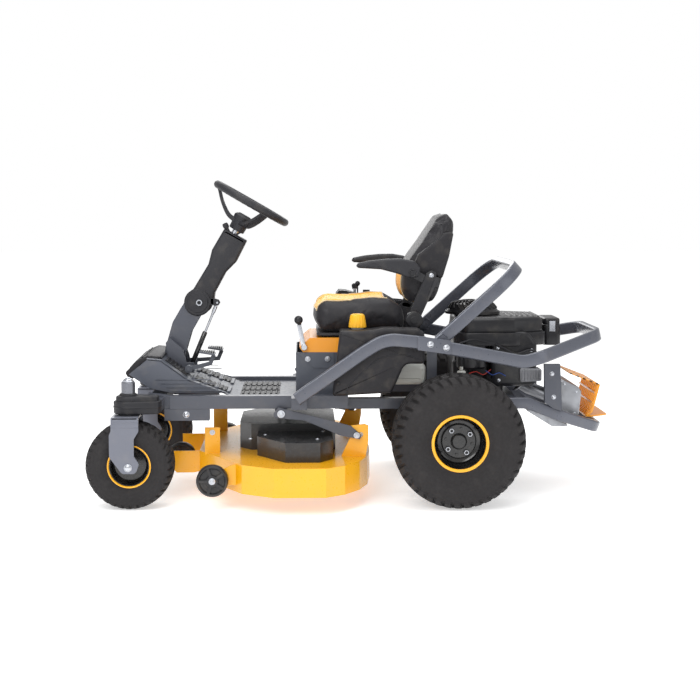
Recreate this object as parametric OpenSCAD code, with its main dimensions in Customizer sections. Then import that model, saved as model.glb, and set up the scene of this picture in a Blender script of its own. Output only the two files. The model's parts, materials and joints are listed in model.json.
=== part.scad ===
// Zero turn mower steered by a wheel: two driven rear wheels, two forks turned by gears,
// a hung cutting deck, a bench seat with folding back, and a V twin engine at the rear.
// +X points forward, +Y to the operator's left, +Z up. The origin is on the ground,
// on the centre plane, half way along the machine.

/* [Wheels] */
// Outer radius of the rear tyres
rear_tyre_r = 254; // [230:1:280]
// Width of the rear tyres
rear_tyre_w = 250; // [200:1:270]
// Outer radius of the front tyres
front_tyre_r = 167; // [150:1:172]
// Width of the front tyres
front_tyre_w = 152; // [120:1:160]
// Distance between the front and rear axles
wheelbase = 1251; // [1200:1:1300]
// Distance of the rear axle behind the origin
rear_axle_back = 388; // [370:1:400]
// Half distance between the rear tyre centres
rear_half_track = 460; // [455:1:500]
// Half distance between the steering axes
front_half_track = 455; // [440:1:480]
// Bead seat radius of the rear rims
rear_rim_r = 101.6; // [95:0.1:110]
// Bead seat radius of the front rims
front_rim_r = 76.2; // [70:0.1:80]
// Height of a rim flange above its bead seat
rim_flange = 10; // [6:1:14]
// Wall of the rims
rim_wall = 5; // [4:0.5:8]
// Pitch circle of the wheel nuts
lug_pcd = 101.6; // [90:0.1:110]
// Number of wheel nuts
lug_count = 4; // [4, 5]

/* [Forks] */
// Distance of the steering axis in front of the front axle
fork_trail = 5; // [0:1:20]
// Gap between a front tyre and each leg of its fork
fork_side_gap = 6; // [4:1:12]
// Thickness of the fork plates
fork_plate_t = 8; // [6:1:12]
// Height of the top of the fork crown
fork_crown_z = 358; // [350:1:362]
// Radius of the kingpin
kingpin_r = 16; // [12:0.5:20]
// Outer radius of the spindle housings
housing_r = 25.5; // [24:0.5:30]
// Top of the spindle housings
housing_top_z = 482; // [470:1:500]
// Radial clearance of a shaft that turns in a bore
running_clearance = 0.08; // [0.02:0.01:0.1]

/* [Frame] */
// Height of the underside of the main rails
rail_z = 363; // [360:1:370]
// Side of the square main rails
rail_side = 50; // [40:1:60]
// Wall of the frame tubes
tube_wall = 4; // [3:0.5:6]
// Distance of the outer face of a main rail from the centre plane
rail_outer_y = 350; // [340:1:360]
// Front end of the straight part of the main rails
rail_front_x = 722; // [700:1:730]
// Half width of the rear chassis rails, to their outer faces
rear_rail_y = 290; // [270:1:300]
// Height of the rear chassis rails
rear_rail_h = 42; // [36:1:50]
// Radius of the hitch hole
hitch_r = 9.5; // [8:0.5:12]
// Thickness of the hitch plate
hitch_t = 6; // [5:0.5:10]

/* [Tube loops] */
// Height of the bent flat tubes
loop_h = 50; // [40:1:55]
// Width of the bent flat tubes
loop_w = 28; // [24:1:36]
// Distance of the arch rails from the centre plane, at their middle
arch_y = 442; // [438:1:470]
// Distance of the hoop legs from the centre plane, at their middle
hoop_y = 400; // [380:1:402]
// Lean of the hoop above level
hoop_lean = 42; // [36:1:48]
// Length of the hoop along its lean
hoop_len = 418; // [380:1:480]
// Corner radius of the hoop
hoop_corner_r = 120; // [80:1:160]

/* [Seat] */
// Width of the seat cushion
seat_w = 496; // [440:1:500]
// Width of the back cushion
back_w = 460; // [400:1:480]
// Travel of the seat slide each way
seat_travel = 60; // [40:1:60]
// Distance of the armrests from the centre plane, at their middle
armrest_y = 292; // [288:1:310]
// Width of an armrest
armrest_w = 46; // [40:1:60]
// Half width of the seat box
seat_box_half_w = 230; // [200:1:240]
// Wall of the sheet metal boxes
sheet_t = 4; // [3:0.5:6]

/* [Deck] */
// Bottom of the deck skirt
skirt_z = 70; // [60:1:80]
// Top of the deck shell
deck_top_z = 180; // [170:1:190]
// Thickness of the deck shell
deck_t = 5; // [4:0.5:6]
// Half distance between the outer blade spindles
spindle_y = 405; // [400:1:412]
// Length of a blade
blade_len = 430; // [400:1:432]
// Width of a blade
blade_w = 60; // [50:1:70]
// Top of the middle belt cover
cover_top_z = 285; // [260:1:290]
// Top of the outer belt covers
wing_top_z = 255; // [230:1:260]
// Radius of the guide wheels
guide_r = 60; // [50:1:66]
// Height of the guide wheel centres
guide_z = 118; // [110:1:124]
// Travel of the deck above its height stop
deck_travel = 45; // [30:1:45]

/* [Steering column] */
// Outer radius of the steering wheel
wheel_r = 172; // [150:1:190]
// Radius of the steering wheel's rim section
wheel_rim_r = 16; // [12:1:18]
// Tilt of the steering wheel from level
wheel_tilt = 29.8; // [25:0.1:35]
// Width of the column cover
column_w = 92; // [80:1:110]
// Half width of the column's bent channel
channel_half_w = 40; // [36:1:44]

/* [Engine] */
// Radius of the rotating screen
screen_r = 112; // [100:1:120]
// Top of the blower housing
blower_top_z = 705; // [690:1:715]
// Half width of the blower housing
blower_half_w = 225; // [200:1:240]

/* [Hidden] */
$fn = 64;
PAINT = "#5d6068";
PLASTIC = "#2f2f33";
YELLOW = "#ffc22e";
ORANGE = "#f09a1a";
ZINC = "#c9cbd0";
RUBBER = "#3a383b";
VINYL = "#333136";
// Gap between pieces of different bodies that face each other
gap = 3;
// Overlap that makes a cut go right through
cut = 1;
rear_axle = [-rear_axle_back, 0, rear_tyre_r];
front_axle = [wheelbase - rear_axle_back, 0, front_tyre_r];
steer_x = front_axle.x + fork_trail;
// ---- points and outlines -------------------------------------------------------------------
function unit(v) = v / norm(v);
function wrapped(angle) = angle - 360 * round(angle / 360);
// Arc of radius r that rounds the corner b between a and c, in steps
function corner_arc(a, b, c, r, steps) =
    let (u = unit(a - b), v = unit(c - b), half = acos(u * v) / 2,
         centre = b + unit(u + v) * r / sin(half),
         p = b + u * r / tan(half) - centre, q = b + v * r / tan(half) - centre,
         start = atan2(p.y, p.x), sweep = wrapped(atan2(q.y, q.x) - start))
    [for (i = [0 : steps]) centre + r * [cos(start + sweep * i / steps),
                                         sin(start + sweep * i / steps)]];
// Path through the points with each inner corner rounded
function rounded_path(p, r, steps = 6) =
    concat([p[0]],
           [for (i = [1 : len(p) - 2]) each corner_arc(p[i - 1], p[i], p[i + 1], r, steps)],
           [p[len(p) - 1]]);
// Closed outline with every corner rounded
function rounded_outline(p, r, steps = 4) =
    let (n = len(p))
    [for (i = [0 : n - 1]) each corner_arc(p[(i + n - 1) % n], p[i], p[(i + 1) % n], r, steps)];
// Side step of length one at point i of an open path, stretched in corners
function side_step(p, i) =
    let (last = len(p) - 1,
         before = unit(i > 0 ? p[i] - p[i - 1] : p[1] - p[0]),
         after = unit(i < last ? p[i + 1] - p[i] : p[last] - p[last - 1]),
         along = unit(before + after))
    [-along.y, along.x] / (along * after);
// Outline of a strip of width w along an open path
function strip(p, w) =
    let (n = len(p) - 1)
    concat([for (i = [0 : n]) p[i] + side_step(p, i) * w / 2],
           [for (i = [n : -1 : 0]) p[i] - side_step(p, i) * w / 2]);
// Open path made longer by e at both ends
function longer(p, e) =
    let (n = len(p) - 1)
    concat([p[0] + unit(p[0] - p[1]) * e], [for (i = [1 : n - 1]) p[i]],
           [p[n] + unit(p[n] - p[n - 1]) * e]);
// Closed outline, given anticlockwise, moved inwards by d
function inset(p, d) =
    let (n = len(p))
    [for (i = [0 : n - 1])
        let (before = unit(p[i] - p[(i + n - 1) % n]), after = unit(p[(i + 1) % n] - p[i]),
             along = unit(before + after))
        p[i] + [-along.y, along.x] * d / (along * after)];
function mirrored_y(p) = [for (i = [len(p) - 1 : -1 : 0]) [p[i].x, -p[i].y]];
// ---- shapes --------------------------------------------------------------------------------
module box(low, high) { translate(low) cube(high - low); }
module both_sides() { children(); mirror([0, 1, 0]) children(); }
module plate_xz(outline, y0, y1) {
    translate([0, y1, 0]) rotate([90, 0, 0]) linear_extrude(y1 - y0) polygon(outline);
}
module plate_xy(outline, z0, z1) { translate([0, 0, z0]) linear_extrude(z1 - z0) polygon(outline); }
module along_y(x, z, r, y0, y1) { translate([x, y0, z]) rotate([-90, 0, 0]) cylinder(r = r, h = y1 - y0); }
module along_z(x, y, r, z0, z1) { translate([x, y, z0]) cylinder(r = r, h = z1 - z0); }
module rod(a, b, r) {
    d = b - a;
    translate(a) rotate([0, acos(d.z / norm(d)), atan2(d.y, d.x)]) cylinder(r = r, h = norm(d));
}
module square_tube(low, high, wall, axis) {
    in = [for (i = [0 : 2]) i == axis ? -cut : wall];
    difference() {
        box(low, high);
        box(low + in, high - in);
    }
}
module flat_tube_xz(path, h, y0, y1, wall) {
    difference() {
        plate_xz(strip(path, h), y0, y1);
        plate_xz(strip(longer(path, cut), h - 2 * wall), y0 + wall, y1 - wall);
    }
}
// Flat tube bent in the plane z = 0: its width lies in the plane, its height across it
module flat_tube_xy(path, w, h, wall) {
    difference() {
        plate_xy(strip(path, w), -h / 2, h / 2);
        plate_xy(strip(longer(path, cut), w - 2 * wall), wall - h / 2, h / 2 - wall);
    }
}

// ==== wheels ================================================================================
tyre_power = 0.72;
tyre_steps = 40;
tread_t = 20;
wall_t = 12;
function signed_power(v, e) = sign(v) * pow(abs(v), e);
// Rounded section between radii r0 and r1, of width w
function tyre_section(r0, r1, w) = [for (i = [0 : tyre_steps - 1])
    let (a = 360 * i / tyre_steps)
    [(r0 + r1) / 2 + (r1 - r0) / 2 * signed_power(cos(a), tyre_power),
     w / 2 * signed_power(sin(a), tyre_power)]];
module tyre(r, w, bore_r) {
    color(RUBBER) rotate([-90, 0, 0]) difference() {
        rotate_extrude($fn = 96) polygon(tyre_section(bore_r - 4, r, w));
        rotate_extrude($fn = 96) polygon(tyre_section(bore_r - wall_t, r - tread_t, w - 2 * wall_t));
        cylinder(r = bore_r, h = w, center = true);
    }
}
rear_rim_w = 178;
front_rim_w = 114;
rear_disc_y = 22;
lug_head_r = 11;
lug_head_h = 12;
// Rim turned about Y; the dished side faces +Y
module rim(r, w, disc_y, bore_r) {
    half = w / 2;
    rotate([-90, 0, 0]) rotate_extrude($fn = 96) polygon([
        [r - rim_wall, -half], [r + rim_flange, -half], [r + rim_flange, -half + rim_wall],
        [r, -half + rim_wall], [r, half - rim_wall], [r + rim_flange, half - rim_wall],
        [r + rim_flange, half], [r - rim_wall, half], [r - rim_wall, disc_y + rim_wall],
        [bore_r, disc_y + rim_wall], [bore_r, disc_y - rim_wall], [r - rim_wall, disc_y - rim_wall]]);
}
rear_hub_bore_r = 28;
module rear_rim() {
    color(PLASTIC) {
        rim(rear_rim_r, rear_rim_w, rear_disc_y, rear_hub_bore_r);
        along_y(0, 0, rear_hub_bore_r, rear_disc_y - 3 * rim_wall, rear_disc_y + 3 * rim_wall);
        for (i = [0 : lug_count - 1]) rotate([0, 360 * i / lug_count + 35, 0])
            along_y(lug_pcd / 2, 0, lug_head_r, rear_disc_y, rear_disc_y + rim_wall + lug_head_h);
    }
}
front_pin_r = 10;
front_hub_r = 24;
front_bearing_r = front_pin_r + running_clearance;
front_hub_half = front_tyre_w / 2;
module front_rim() {
    color(PLASTIC) difference() {
        union() {
            rim(front_rim_r, front_rim_w, 0, front_hub_r - cut);
            along_y(0, 0, front_hub_r, -front_hub_half, front_hub_half);
        }
        along_y(0, 0, front_bearing_r, -front_hub_half - cut, front_hub_half + cut);
    }
}
module at_rear_wheel(side) {
    translate([rear_axle.x, side * rear_half_track, rear_axle.z])
        mirror([0, side < 0 ? 1 : 0, 0]) children();
}
module at_front_wheel(side) {
    translate([front_axle.x, side * front_half_track, front_axle.z])
        mirror([0, side < 0 ? 1 : 0, 0]) children();
}

// ==== forks =================================================================================
fork_inner = front_tyre_w / 2 + fork_side_gap;
fork_outer = fork_inner + fork_plate_t;
crown_half_x = 52;
leg_top_z = fork_crown_z - fork_plate_t;
leg_shape = [[-46, 140], [-46, 98], [-24, 78], [-24, 40], [-42, 14], [-30, -22], [20, -22],
             [68, 42], [68, 126], [60, 142]];
steer_gear_r = 46;
steer_gear_z = 388;
steer_gear_t = 16;
pin_head_r = 14;
pin_head_h = 8;
nut_r = 22;
nut_h = 16;
module fork() {
    x = front_axle.x;
    z = front_axle.z;
    // Foot and waist of the leg follow the axle; its top follows the crown
    leg = concat([for (p = leg_shape) if (p.y < crown_half_x * 2.5) [x + p.x, z + p.y]],
                 [[x + leg_shape[9].x, leg_top_z], [x + leg_shape[0].x + 5, leg_top_z],
                  [x + leg_shape[0].x + 5, z + leg_shape[0].y]]);
    color("#7d8089") translate([0, front_half_track, 0]) {
        for (side = [-1, 1]) mirror([0, side < 0 ? 1 : 0, 0]) {
            plate_xz(leg, fork_inner, fork_outer);
            along_y(x, z, pin_head_r, fork_outer, fork_outer + pin_head_h);
        }
        box([x - crown_half_x + 5, -fork_outer, leg_top_z],
            [x + crown_half_x + 8, fork_outer, fork_crown_z]);
        along_y(x, z, front_pin_r, -fork_outer, fork_outer);
        along_z(steer_x, 0, kingpin_r, leg_top_z, housing_top_z + nut_h);
        along_z(steer_x, 0, steer_gear_r, steer_gear_z, steer_gear_z + steer_gear_t);
        along_z(steer_x, 0, nut_r, housing_top_z + gap / 6, housing_top_z + nut_h);
    }
}
case_z = 363;
case_top_z = 431;
case_r = 58;
case_wall = 5;
case_rear_x = 742;
case_rear_half = 44;
kingpin_bore_r = kingpin_r + running_clearance;
module case_block(shrink, z0, z1) {
    along_z(steer_x, front_half_track, case_r - shrink, z0, z1);
    box([case_rear_x + shrink, front_half_track - case_rear_half + shrink, z0],
        [steer_x, front_half_track + case_rear_half - shrink, z1]);
}
module gear_cases() {
    color(PLASTIC) both_sides() difference() {
        case_block(0, case_z, case_top_z);
        case_block(case_wall, case_z + case_wall, case_top_z - case_wall);
        along_z(steer_x, front_half_track, kingpin_bore_r, case_z - cut, case_top_z + cut);
    }
}

// ==== chassis ===============================================================================
rail_top_z = rail_z + rail_side;
rail_inner_y = rail_outer_y - rail_side;
rail_rear_x = 30;
rear_rail_z = 353;
rear_rail_inner_y = rear_rail_y - rail_side + 10;
rear_rail_back_x = -640;
beam_x = case_rear_x + 2;
beam_deep = 60;
beam_end_y = front_half_track - case_rear_half;
cross_xs = [60, 240];
cross_w = 40;
outrigger_x = 190;
outrigger_w = 60;
upright_x = -318;
upright_w = 39;
upright_y = 332;
upright_top_z = 604;
plate_t = 6;
post_y = 306;
post_t = 24;
post_shape = [[-738, 531], [-741, 380], [-775, 357], [-810, 345], [-800, 531]];
hitch_x = -860;
hitch_z = 262;
hitch_half_w = 60;
hitch_len = 90;
bracket_low_z = 317;
bracket_x0 = 568;
bracket_x1 = 743;
lift_pivot = [290, 0, 348];
lift_shaft_r = 10;
lift_ear = 24;
lift_bore_r = lift_shaft_r + running_clearance;
engine_plate_z = rear_rail_z + rear_rail_h;
module chassis_frame() {
    color(PAINT) {
        both_sides() {
            square_tube([rail_rear_x, rail_inner_y, rail_z], [rail_front_x, rail_outer_y, rail_top_z],
                        tube_wall, 0);
            // Angled front ends that meet the front beam
            plate_xz([[rail_front_x, rail_z], [beam_x + beam_deep, rail_z],
                      [beam_x + beam_deep, rail_top_z + 10], [rail_front_x, rail_top_z]],
                     rail_inner_y, rail_outer_y - 10);
            square_tube([rear_rail_back_x, rear_rail_inner_y, rear_rail_z],
                        [rail_rear_x + rail_side, rear_rail_y, rear_rail_z + rear_rail_h], tube_wall, 0);
            box([rail_rear_x, rear_rail_inner_y, rail_z],
                [rail_rear_x + rail_side, rail_outer_y, rail_top_z - 10]);
            box([outrigger_x, rail_outer_y, rail_z + 5],
                [outrigger_x + outrigger_w, arch_y - loop_w / 2, rail_top_z]);
            // Bracket under each rail that takes the front of the deck hangers
            difference() {
                box([bracket_x0, rail_inner_y + 8, bracket_low_z], [bracket_x1, rail_outer_y - 2, rail_z]);
                box([bracket_x0 - cut, rail_inner_y + 14, bracket_low_z - cut],
                    [bracket_x1 + cut, rail_outer_y - 8, rail_z - plate_t]);
            }
            // Ear that carries the lift shaft
            difference() {
                box([lift_pivot.x - lift_ear, rail_outer_y - plate_t * 2, lift_pivot.z - lift_ear],
                    [lift_pivot.x + lift_ear, rail_outer_y - plate_t, rail_z]);
                along_y(lift_pivot.x, lift_pivot.z, lift_bore_r, rail_outer_y - 30, rail_outer_y);
            }
            // Upright that carries the joint of the arch rail and the bumper
            box([upright_x, upright_y - post_t, engine_plate_z - 20],
                [upright_x + upright_w, upright_y - post_t + plate_t, upright_top_z]);
            box([upright_x, rear_rail_y - post_t, engine_plate_z - 20],
                [upright_x + upright_w, upright_y - post_t, engine_plate_z + 30]);
            plate_xz(post_shape, post_y, post_y + post_t);
            // Spindle housing above each gear case
            difference() {
                along_z(steer_x, front_half_track, housing_r, case_top_z, housing_top_z);
                along_z(steer_x, front_half_track, kingpin_bore_r, case_top_z - cut, housing_top_z + cut);
            }
        }
    }
}

module frame_cross() {
    color(PAINT) {
        square_tube([beam_x, -beam_end_y, rail_z + 4],
                    [beam_x + beam_deep, beam_end_y, rail_top_z - 4], tube_wall, 1);
        for (x = cross_xs) box([x, -rail_inner_y, rail_z + 6], [x + cross_w, rail_inner_y, rail_z + 30]);
        // Engine plate across the rear rails, and the hitch plate behind it
        difference() {
            box([rear_rail_back_x, -rear_rail_inner_y, engine_plate_z - plate_t],
                [-360, rear_rail_inner_y, engine_plate_z]);
            along_z(crank.x, crank.y, crank_r + gap, engine_plate_z - plate_t - cut, engine_plate_z + cut);
        }
        box([rear_rail_back_x, -rear_rail_inner_y, rear_rail_z],
            [rear_rail_back_x + plate_t, rear_rail_inner_y, engine_plate_z]);
    }
    color(PAINT) difference() {
        union() {
            box([hitch_x - 30, -hitch_half_w, hitch_z - hitch_t / 2],
                [hitch_x - 30 + hitch_len, hitch_half_w, hitch_z + hitch_t / 2]);
            for (y = [-hitch_half_w, hitch_half_w - plate_t])
                plate_xz([[rear_rail_back_x, rear_rail_z], [rear_rail_back_x, engine_plate_z],
                          [rear_rail_back_x - 30, engine_plate_z], [hitch_x + 50, hitch_z + 20],
                          [hitch_x, hitch_z], [hitch_x + 50, hitch_z - hitch_t / 2]], y, y + plate_t);
        }
        along_z(hitch_x, 0, hitch_r, hitch_z - 20, hitch_z + 20);
    }
}
bolt_r = 9;
bolt_h = 7;
joint_bolts = [[-281, 622], [-342, 609]];
rail_bolts = [[658, 341]];
post_bolts = [[-768, 494], [-776, 402]];
module frame_bolts() {
    color(ZINC) both_sides() {
        for (p = joint_bolts) along_y(p.x, p.y, bolt_r * 1.3, arch_y + loop_w / 2,
                                      arch_y + loop_w / 2 + bolt_h);
        for (p = rail_bolts) along_y(p.x, p.y, bolt_r * 1.5, rail_outer_y - 2, rail_outer_y - 2 + bolt_h);
        for (p = post_bolts) along_y(p.x, p.y, bolt_r, post_y + post_t, post_y + post_t + bolt_h);
    }
}

// ==== floor, nose and seat base ============================================================
floor_z = 396;
floor_half_w = rail_inner_y - 2;
floor_line = [[104, floor_z], [470, floor_z], [655, 466], [762, 544], [818, 549]];
tread_y = 60;
tread_w = 160;
tread_count = 4;
skirt_half_w = 262;
floor_skirt = [[500, rail_top_z + 2], [720, rail_top_z + 2], [806, 434], [888, 489], [818, 545],
               [764, 540], [657, 462]];
module floor_pan() {
    color("#6b6e77") {
        plate_xz(strip(floor_line, sheet_t), -skirt_half_w, skirt_half_w);
        both_sides() {
            plate_xz(strip([floor_line[0], floor_line[1]], sheet_t), skirt_half_w, floor_half_w);
            plate_xz(floor_skirt, skirt_half_w, skirt_half_w + sheet_t);
            // Raised ribs of the foot rest
            for (i = [0 : tread_count - 1])
                let (a = floor_line[1] + (floor_line[2] - floor_line[1]) * (i + 0.5) / tread_count)
                translate([a.x, tread_y, a.y]) cube([14, tread_w, 12]);
        }
    }
}
nose_top = [[772, 552], [816, 556], [856, 538], [904, 489], [886, 462], [872, 470], [846, 520], [812, 537]];
nose_half_w = 228;
module nose_cover() {
    color(PLASTIC) {
        plate_xz(nose_top, -nose_half_w, nose_half_w);
        both_sides() plate_xz([[812, 537], [846, 520], [872, 470], [840, 458], [812, 470]],
                              nose_half_w - sheet_t, nose_half_w);
    }
}
seat_box_x0 = 62;
seat_box_x1 = 233;
seat_box_top = 571;
seat_box_floor = rail_top_z - 12;
module seat_box() {
    w = seat_box_half_w;
    z0 = seat_box_floor;
    color("#565a63") {
        box([seat_box_x1 - sheet_t, -w, z0], [seat_box_x1, w, seat_box_top]);
        both_sides() box([seat_box_x0, w - sheet_t, z0], [seat_box_x1, w, seat_box_top]);
        box([seat_box_x0, -w, z0], [seat_box_x1, w, z0 + sheet_t]);
        box([seat_box_x0, -w, z0], [seat_box_x0 + sheet_t, w, seat_box_top]);
        // Side brackets that bolt the seat pan down
        both_sides() difference() {
            plate_xz([[229, seat_box_top - cut], [82, seat_box_top - cut], [82, 509], [161, 509]], w,
                     w + sheet_t);
            for (x = [108, 186]) along_y(x, 545, 7, w - cut, w + sheet_t + cut);
        }
    }
}
pan_top_z = 628;
module seat_pan() {
    side = [[205, seat_box_top], [219, 592], [177, pan_top_z], [-170, pan_top_z],
            [-190, 600], [-190, seat_box_top]];
    color(ORANGE) {
        both_sides() plate_xz(side, seat_box_half_w - sheet_t, seat_box_half_w);
        along_y(lever_at.x, lever_at.z, lever_pin_r, seat_box_half_w - cut,
                lever_at.y + lever_boss_half + cut);
        box([-180, -seat_box_half_w, pan_top_z - sheet_t], [177, seat_box_half_w, pan_top_z]);
        box([seat_box_x0 - 30, -seat_box_half_w, seat_box_top],
            [205, seat_box_half_w, seat_box_top + sheet_t]);
        plate_xz([[205, seat_box_top], [219, 592], [177, pan_top_z], [177, pan_top_z - sheet_t],
                  [214, 591], [203, seat_box_top + sheet_t]], -seat_box_half_w, seat_box_half_w);
    }
}
battery_z = seat_box_floor + sheet_t;
battery_h = 130;
module battery() {
    color(PLASTIC) {
        box([78, -90, battery_z], [212, 90, battery_z + battery_h]);
        for (y = [-60, 60]) along_z(100, y, 9, battery_z + battery_h, battery_z + battery_h + 14);
    }
}

// ==== fenders, console and tank =============================================================
fender_y = 420;
fender_in = 340;
fender_t = 4;
shelf_in = 262;
fender_side = [[92, 418], [62, 668], [-62, 672], [-108, 712], [-236, 716], [-262, 676],
               [-262, 600], [-262, 545], [-190, 541], [-160, 510], [-146, 470], [-136, 431], [-100, 418]];
shelf_side = [[62, 640], [62, 668], [-62, 672], [-108, 700], [-170, 700], [-170, 640]];
shelf_hollow = [[62 - fender_t, 630], [62 - fender_t, 664], [-62, 668], [-108, 694], [-166, 694],
                [-166, 630]];
filler = [-8, 300];
neck_r = 24;
module fenders() {
    color(VINYL) difference() {
        both_sides() difference() {
            union() {
                plate_xz(fender_side, fender_in, fender_y);
                plate_xz(shelf_side, shelf_in, fender_in + cut);
            }
            plate_xz(inset(fender_side, fender_t), fender_in - cut, fender_y - fender_t);
            plate_xz(shelf_hollow, shelf_in + fender_t, fender_in + 2 * cut);
        }
        along_z(filler.x, filler.y, neck_r + gap, 600, 720);
    }
}
tank_low = [-276, 120, 449];
tank_high = [-30, 318, 535];
module fuel_tank() {
    color("#d9d9d6") difference() {
        union() {
            box(tank_low, tank_high);
            box([-60, filler.y - 40, 449], [30, filler.y + 18, 560]);
            along_z(filler.x, filler.y, neck_r, 550, 690);
        }
        box(tank_low + [fender_t, fender_t, fender_t], tank_high - [fender_t, fender_t, fender_t]);
        along_z(filler.x, filler.y, neck_r - fender_t, 500, 700);
    }
}
cap_base_z = 676;
cap_top_z = 730;
module fuel_cap() {
    color(YELLOW) translate([filler.x, filler.y, 0]) rotate_extrude() polygon([
        [0, cap_top_z], [24, cap_top_z], [28, cap_top_z - 5], [35, cap_base_z], [30, cap_base_z],
        [neck_r + 1, cap_base_z + 3], [neck_r + 1, 691], [0, 691]]);
}
console_in = -282;
console_out = -fender_y + 6;
console_side = [[62, 668], [62, 772], [50, 786], [20, 784], [-90, 752], [-236, 740], [-236, 716],
                [-108, 712], [-62, 672]];
key_at = [-20, -372];
pto_at = [-70, -372];
throttle_at = [-30, -310];
slot_half = 4;
module console() {
    color(PLASTIC) difference() {
        plate_xz(console_side, console_out, console_in);
        // Storage tray
        box([-226, console_out + 8, 728], [-120, console_in - 8, 800]);
        // Slot for the throttle lever, and seats for the key and the pull knob
        box([throttle_at.x - 34, throttle_at.y - slot_half, 740],
            [throttle_at.x + 34, throttle_at.y + slot_half, 800]);
        along_z(key_at.x, key_at.y, 6.5, 752, 800);
        along_z(pto_at.x, pto_at.y, 6.5, 730, 800);
    }
}
module ignition_key() {
    color(ZINC) translate([key_at.x, key_at.y, 0]) {
        along_z(0, 0, 6, 754, 786);
        box([-11, -2, 786], [11, 2, 808]);
    }
}
module pto_knob() {
    color(YELLOW) translate([pto_at.x, pto_at.y, 0]) {
        along_z(0, 0, 6, 734, 772);
        along_z(0, 0, 15, 772, 784);
    }
}
throttle_pivot_z = 744;
throttle_hub_r = 3.4;
module throttle_lever() {
    color(PLASTIC) {
        along_y(throttle_at.x, throttle_pivot_z, throttle_hub_r, throttle_at.y - 2, throttle_at.y + 2);
        plate_xz([[throttle_at.x - 3, throttle_pivot_z], [throttle_at.x + 3, throttle_pivot_z],
                  [throttle_at.x + 3, 806], [throttle_at.x - 3, 806]],
                 throttle_at.y - 2, throttle_at.y + 2);
        translate([throttle_at.x, throttle_at.y, 814]) sphere(r = 11);
    }
}

// ==== bent tubes ============================================================================
arch_line = [[238, 405], [-20, 587], [-110, 642], [-262, 626]];
joint_x0 = -251;
joint_x1 = -360;
module arch_rails() {
    color("#70737c") both_sides() {
        flat_tube_xz(rounded_path(arch_line, 70), loop_h, arch_y - loop_w / 2, arch_y + loop_w / 2 - 4,
                     tube_wall);
        // Joint plate that the hoop and the bumper bolt to
        plate_xz([[joint_x0 + 20, 600], [joint_x0 + 20, 655], [joint_x1, 636], [joint_x1, 582]],
                 arch_y + loop_w / 2 - 4, arch_y + loop_w / 2);
        box([upright_x, upright_y - post_t + plate_t, upright_top_z - 12],
            [upright_x + upright_w, arch_y - loop_w / 2, upright_top_z]);
    }
}
hoop_foot = [-318, 628];
module hoop() {
    r = hoop_corner_r;
    legs = [[0, hoop_y], [hoop_len, hoop_y], [hoop_len, -hoop_y], [0, -hoop_y]];
    color("#83858f") {
        translate([hoop_foot.x, 0, hoop_foot.y]) rotate([0, -180 + hoop_lean, 0])
            flat_tube_xy(rounded_path(legs, r, 10), loop_w, loop_h, tube_wall);
        both_sides() box([hoop_foot.x - 24, hoop_y, upright_top_z + gap],
                         [hoop_foot.x + 10, arch_y - loop_w / 2, hoop_foot.y + 6]);
    }
}
bumper_bend = [-640, 552];
bumper_rise = 14;
bumper_len = 346;
bumper_end_half = 205;
low_bend = [-672, 376];
low_fall = 20.5;
low_len = 324;
low_y = 305;
low_end_half = 190;
module rear_bumper() {
    color("#767982") {
        both_sides() {
            flat_tube_xz([[joint_x0 - 14, 622], bumper_bend], loop_h, arch_y - loop_w / 2,
                         arch_y + loop_w / 2 - 4, tube_wall);
            flat_tube_xz([[-596, low_bend.y], low_bend], loop_h - 6, low_y - loop_w / 2,
                         low_y + loop_w / 2, tube_wall);
        }
        translate([bumper_bend.x, 0, bumper_bend.y]) rotate([0, -180 + bumper_rise, 0])
            flat_tube_xy(rounded_path([[0, arch_y - 2], [70, arch_y - 2], [bumper_len, bumper_end_half],
                                       [bumper_len, -bumper_end_half], [70, -arch_y + 2],
                                       [0, -arch_y + 2]], 70, 8),
                         loop_w - 4, loop_h, tube_wall);
        translate([low_bend.x, 0, low_bend.y]) rotate([0, 180 - low_fall, 0])
            flat_tube_xy(rounded_path([[0, low_y], [150, low_y], [low_len, low_end_half],
                                       [low_len, -low_end_half], [150, -low_y], [0, -low_y]], 70, 8),
                         loop_w, loop_h - 6, tube_wall);
    }
}

// ==== engine ================================================================================
crank = [-491, 0];
crank_r = 14;
crank_bore_r = crank_r + running_clearance;
cylinder_spread = 38;
cylinder_len = 250;
fin_count = 7;
module engine_block() {
    color("#4a4b4f") {
        difference() {
            box([-600, -110, engine_plate_z], [-410, 110, 590]);
            along_z(crank.x, crank.y, crank_bore_r, engine_plate_z - cut, 600);
        }
        both_sides() translate([crank.x, 0, 505]) rotate([0, 0, 180 - cylinder_spread]) {
            box([90, -44, -44], [cylinder_len - 40, 44, 44]);
            for (i = [0 : fin_count - 1]) box([120 + i * 13, -56, -56], [124 + i * 13, 56, 56]);
            box([cylinder_len - 40, -50, -56], [cylinder_len, 50, 56]);
        }
        // Starter motor and oil filter
        along_z(-430, 150, 34, engine_plate_z, 520);
        along_z(-560, 140, 38, engine_plate_z, 470);
    }
}
blower_z = 592;
module blower_housing() {
    outline = rounded_outline([[-400, -150], [-440, -blower_half_w], [-640, -blower_half_w],
                               [-770, -150], [-770, 150], [-640, blower_half_w],
                               [-440, blower_half_w], [-400, 150]], 30);
    color(PLASTIC) difference() {
        union() {
            plate_xy(outline, blower_z, 640);
            plate_xy(inset(rounded_outline([[-770, -150], [-640, -blower_half_w], [-440, -blower_half_w],
                     [-400, -150], [-400, 150], [-440, blower_half_w], [-640, blower_half_w],
                     [-770, 150]], 30), 14),
                     640 - cut, blower_top_z);
        }
        plate_xy([[-745, -130], [-630, -195], [-450, -195], [-415, -130], [-415, 130], [-450, 195],
                  [-630, 195], [-745, 130]], blower_z - cut, blower_top_z - 8);
        along_z(crank.x, crank.y, screen_r - 14, blower_top_z - 20, blower_top_z + cut);
    }
}
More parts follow.
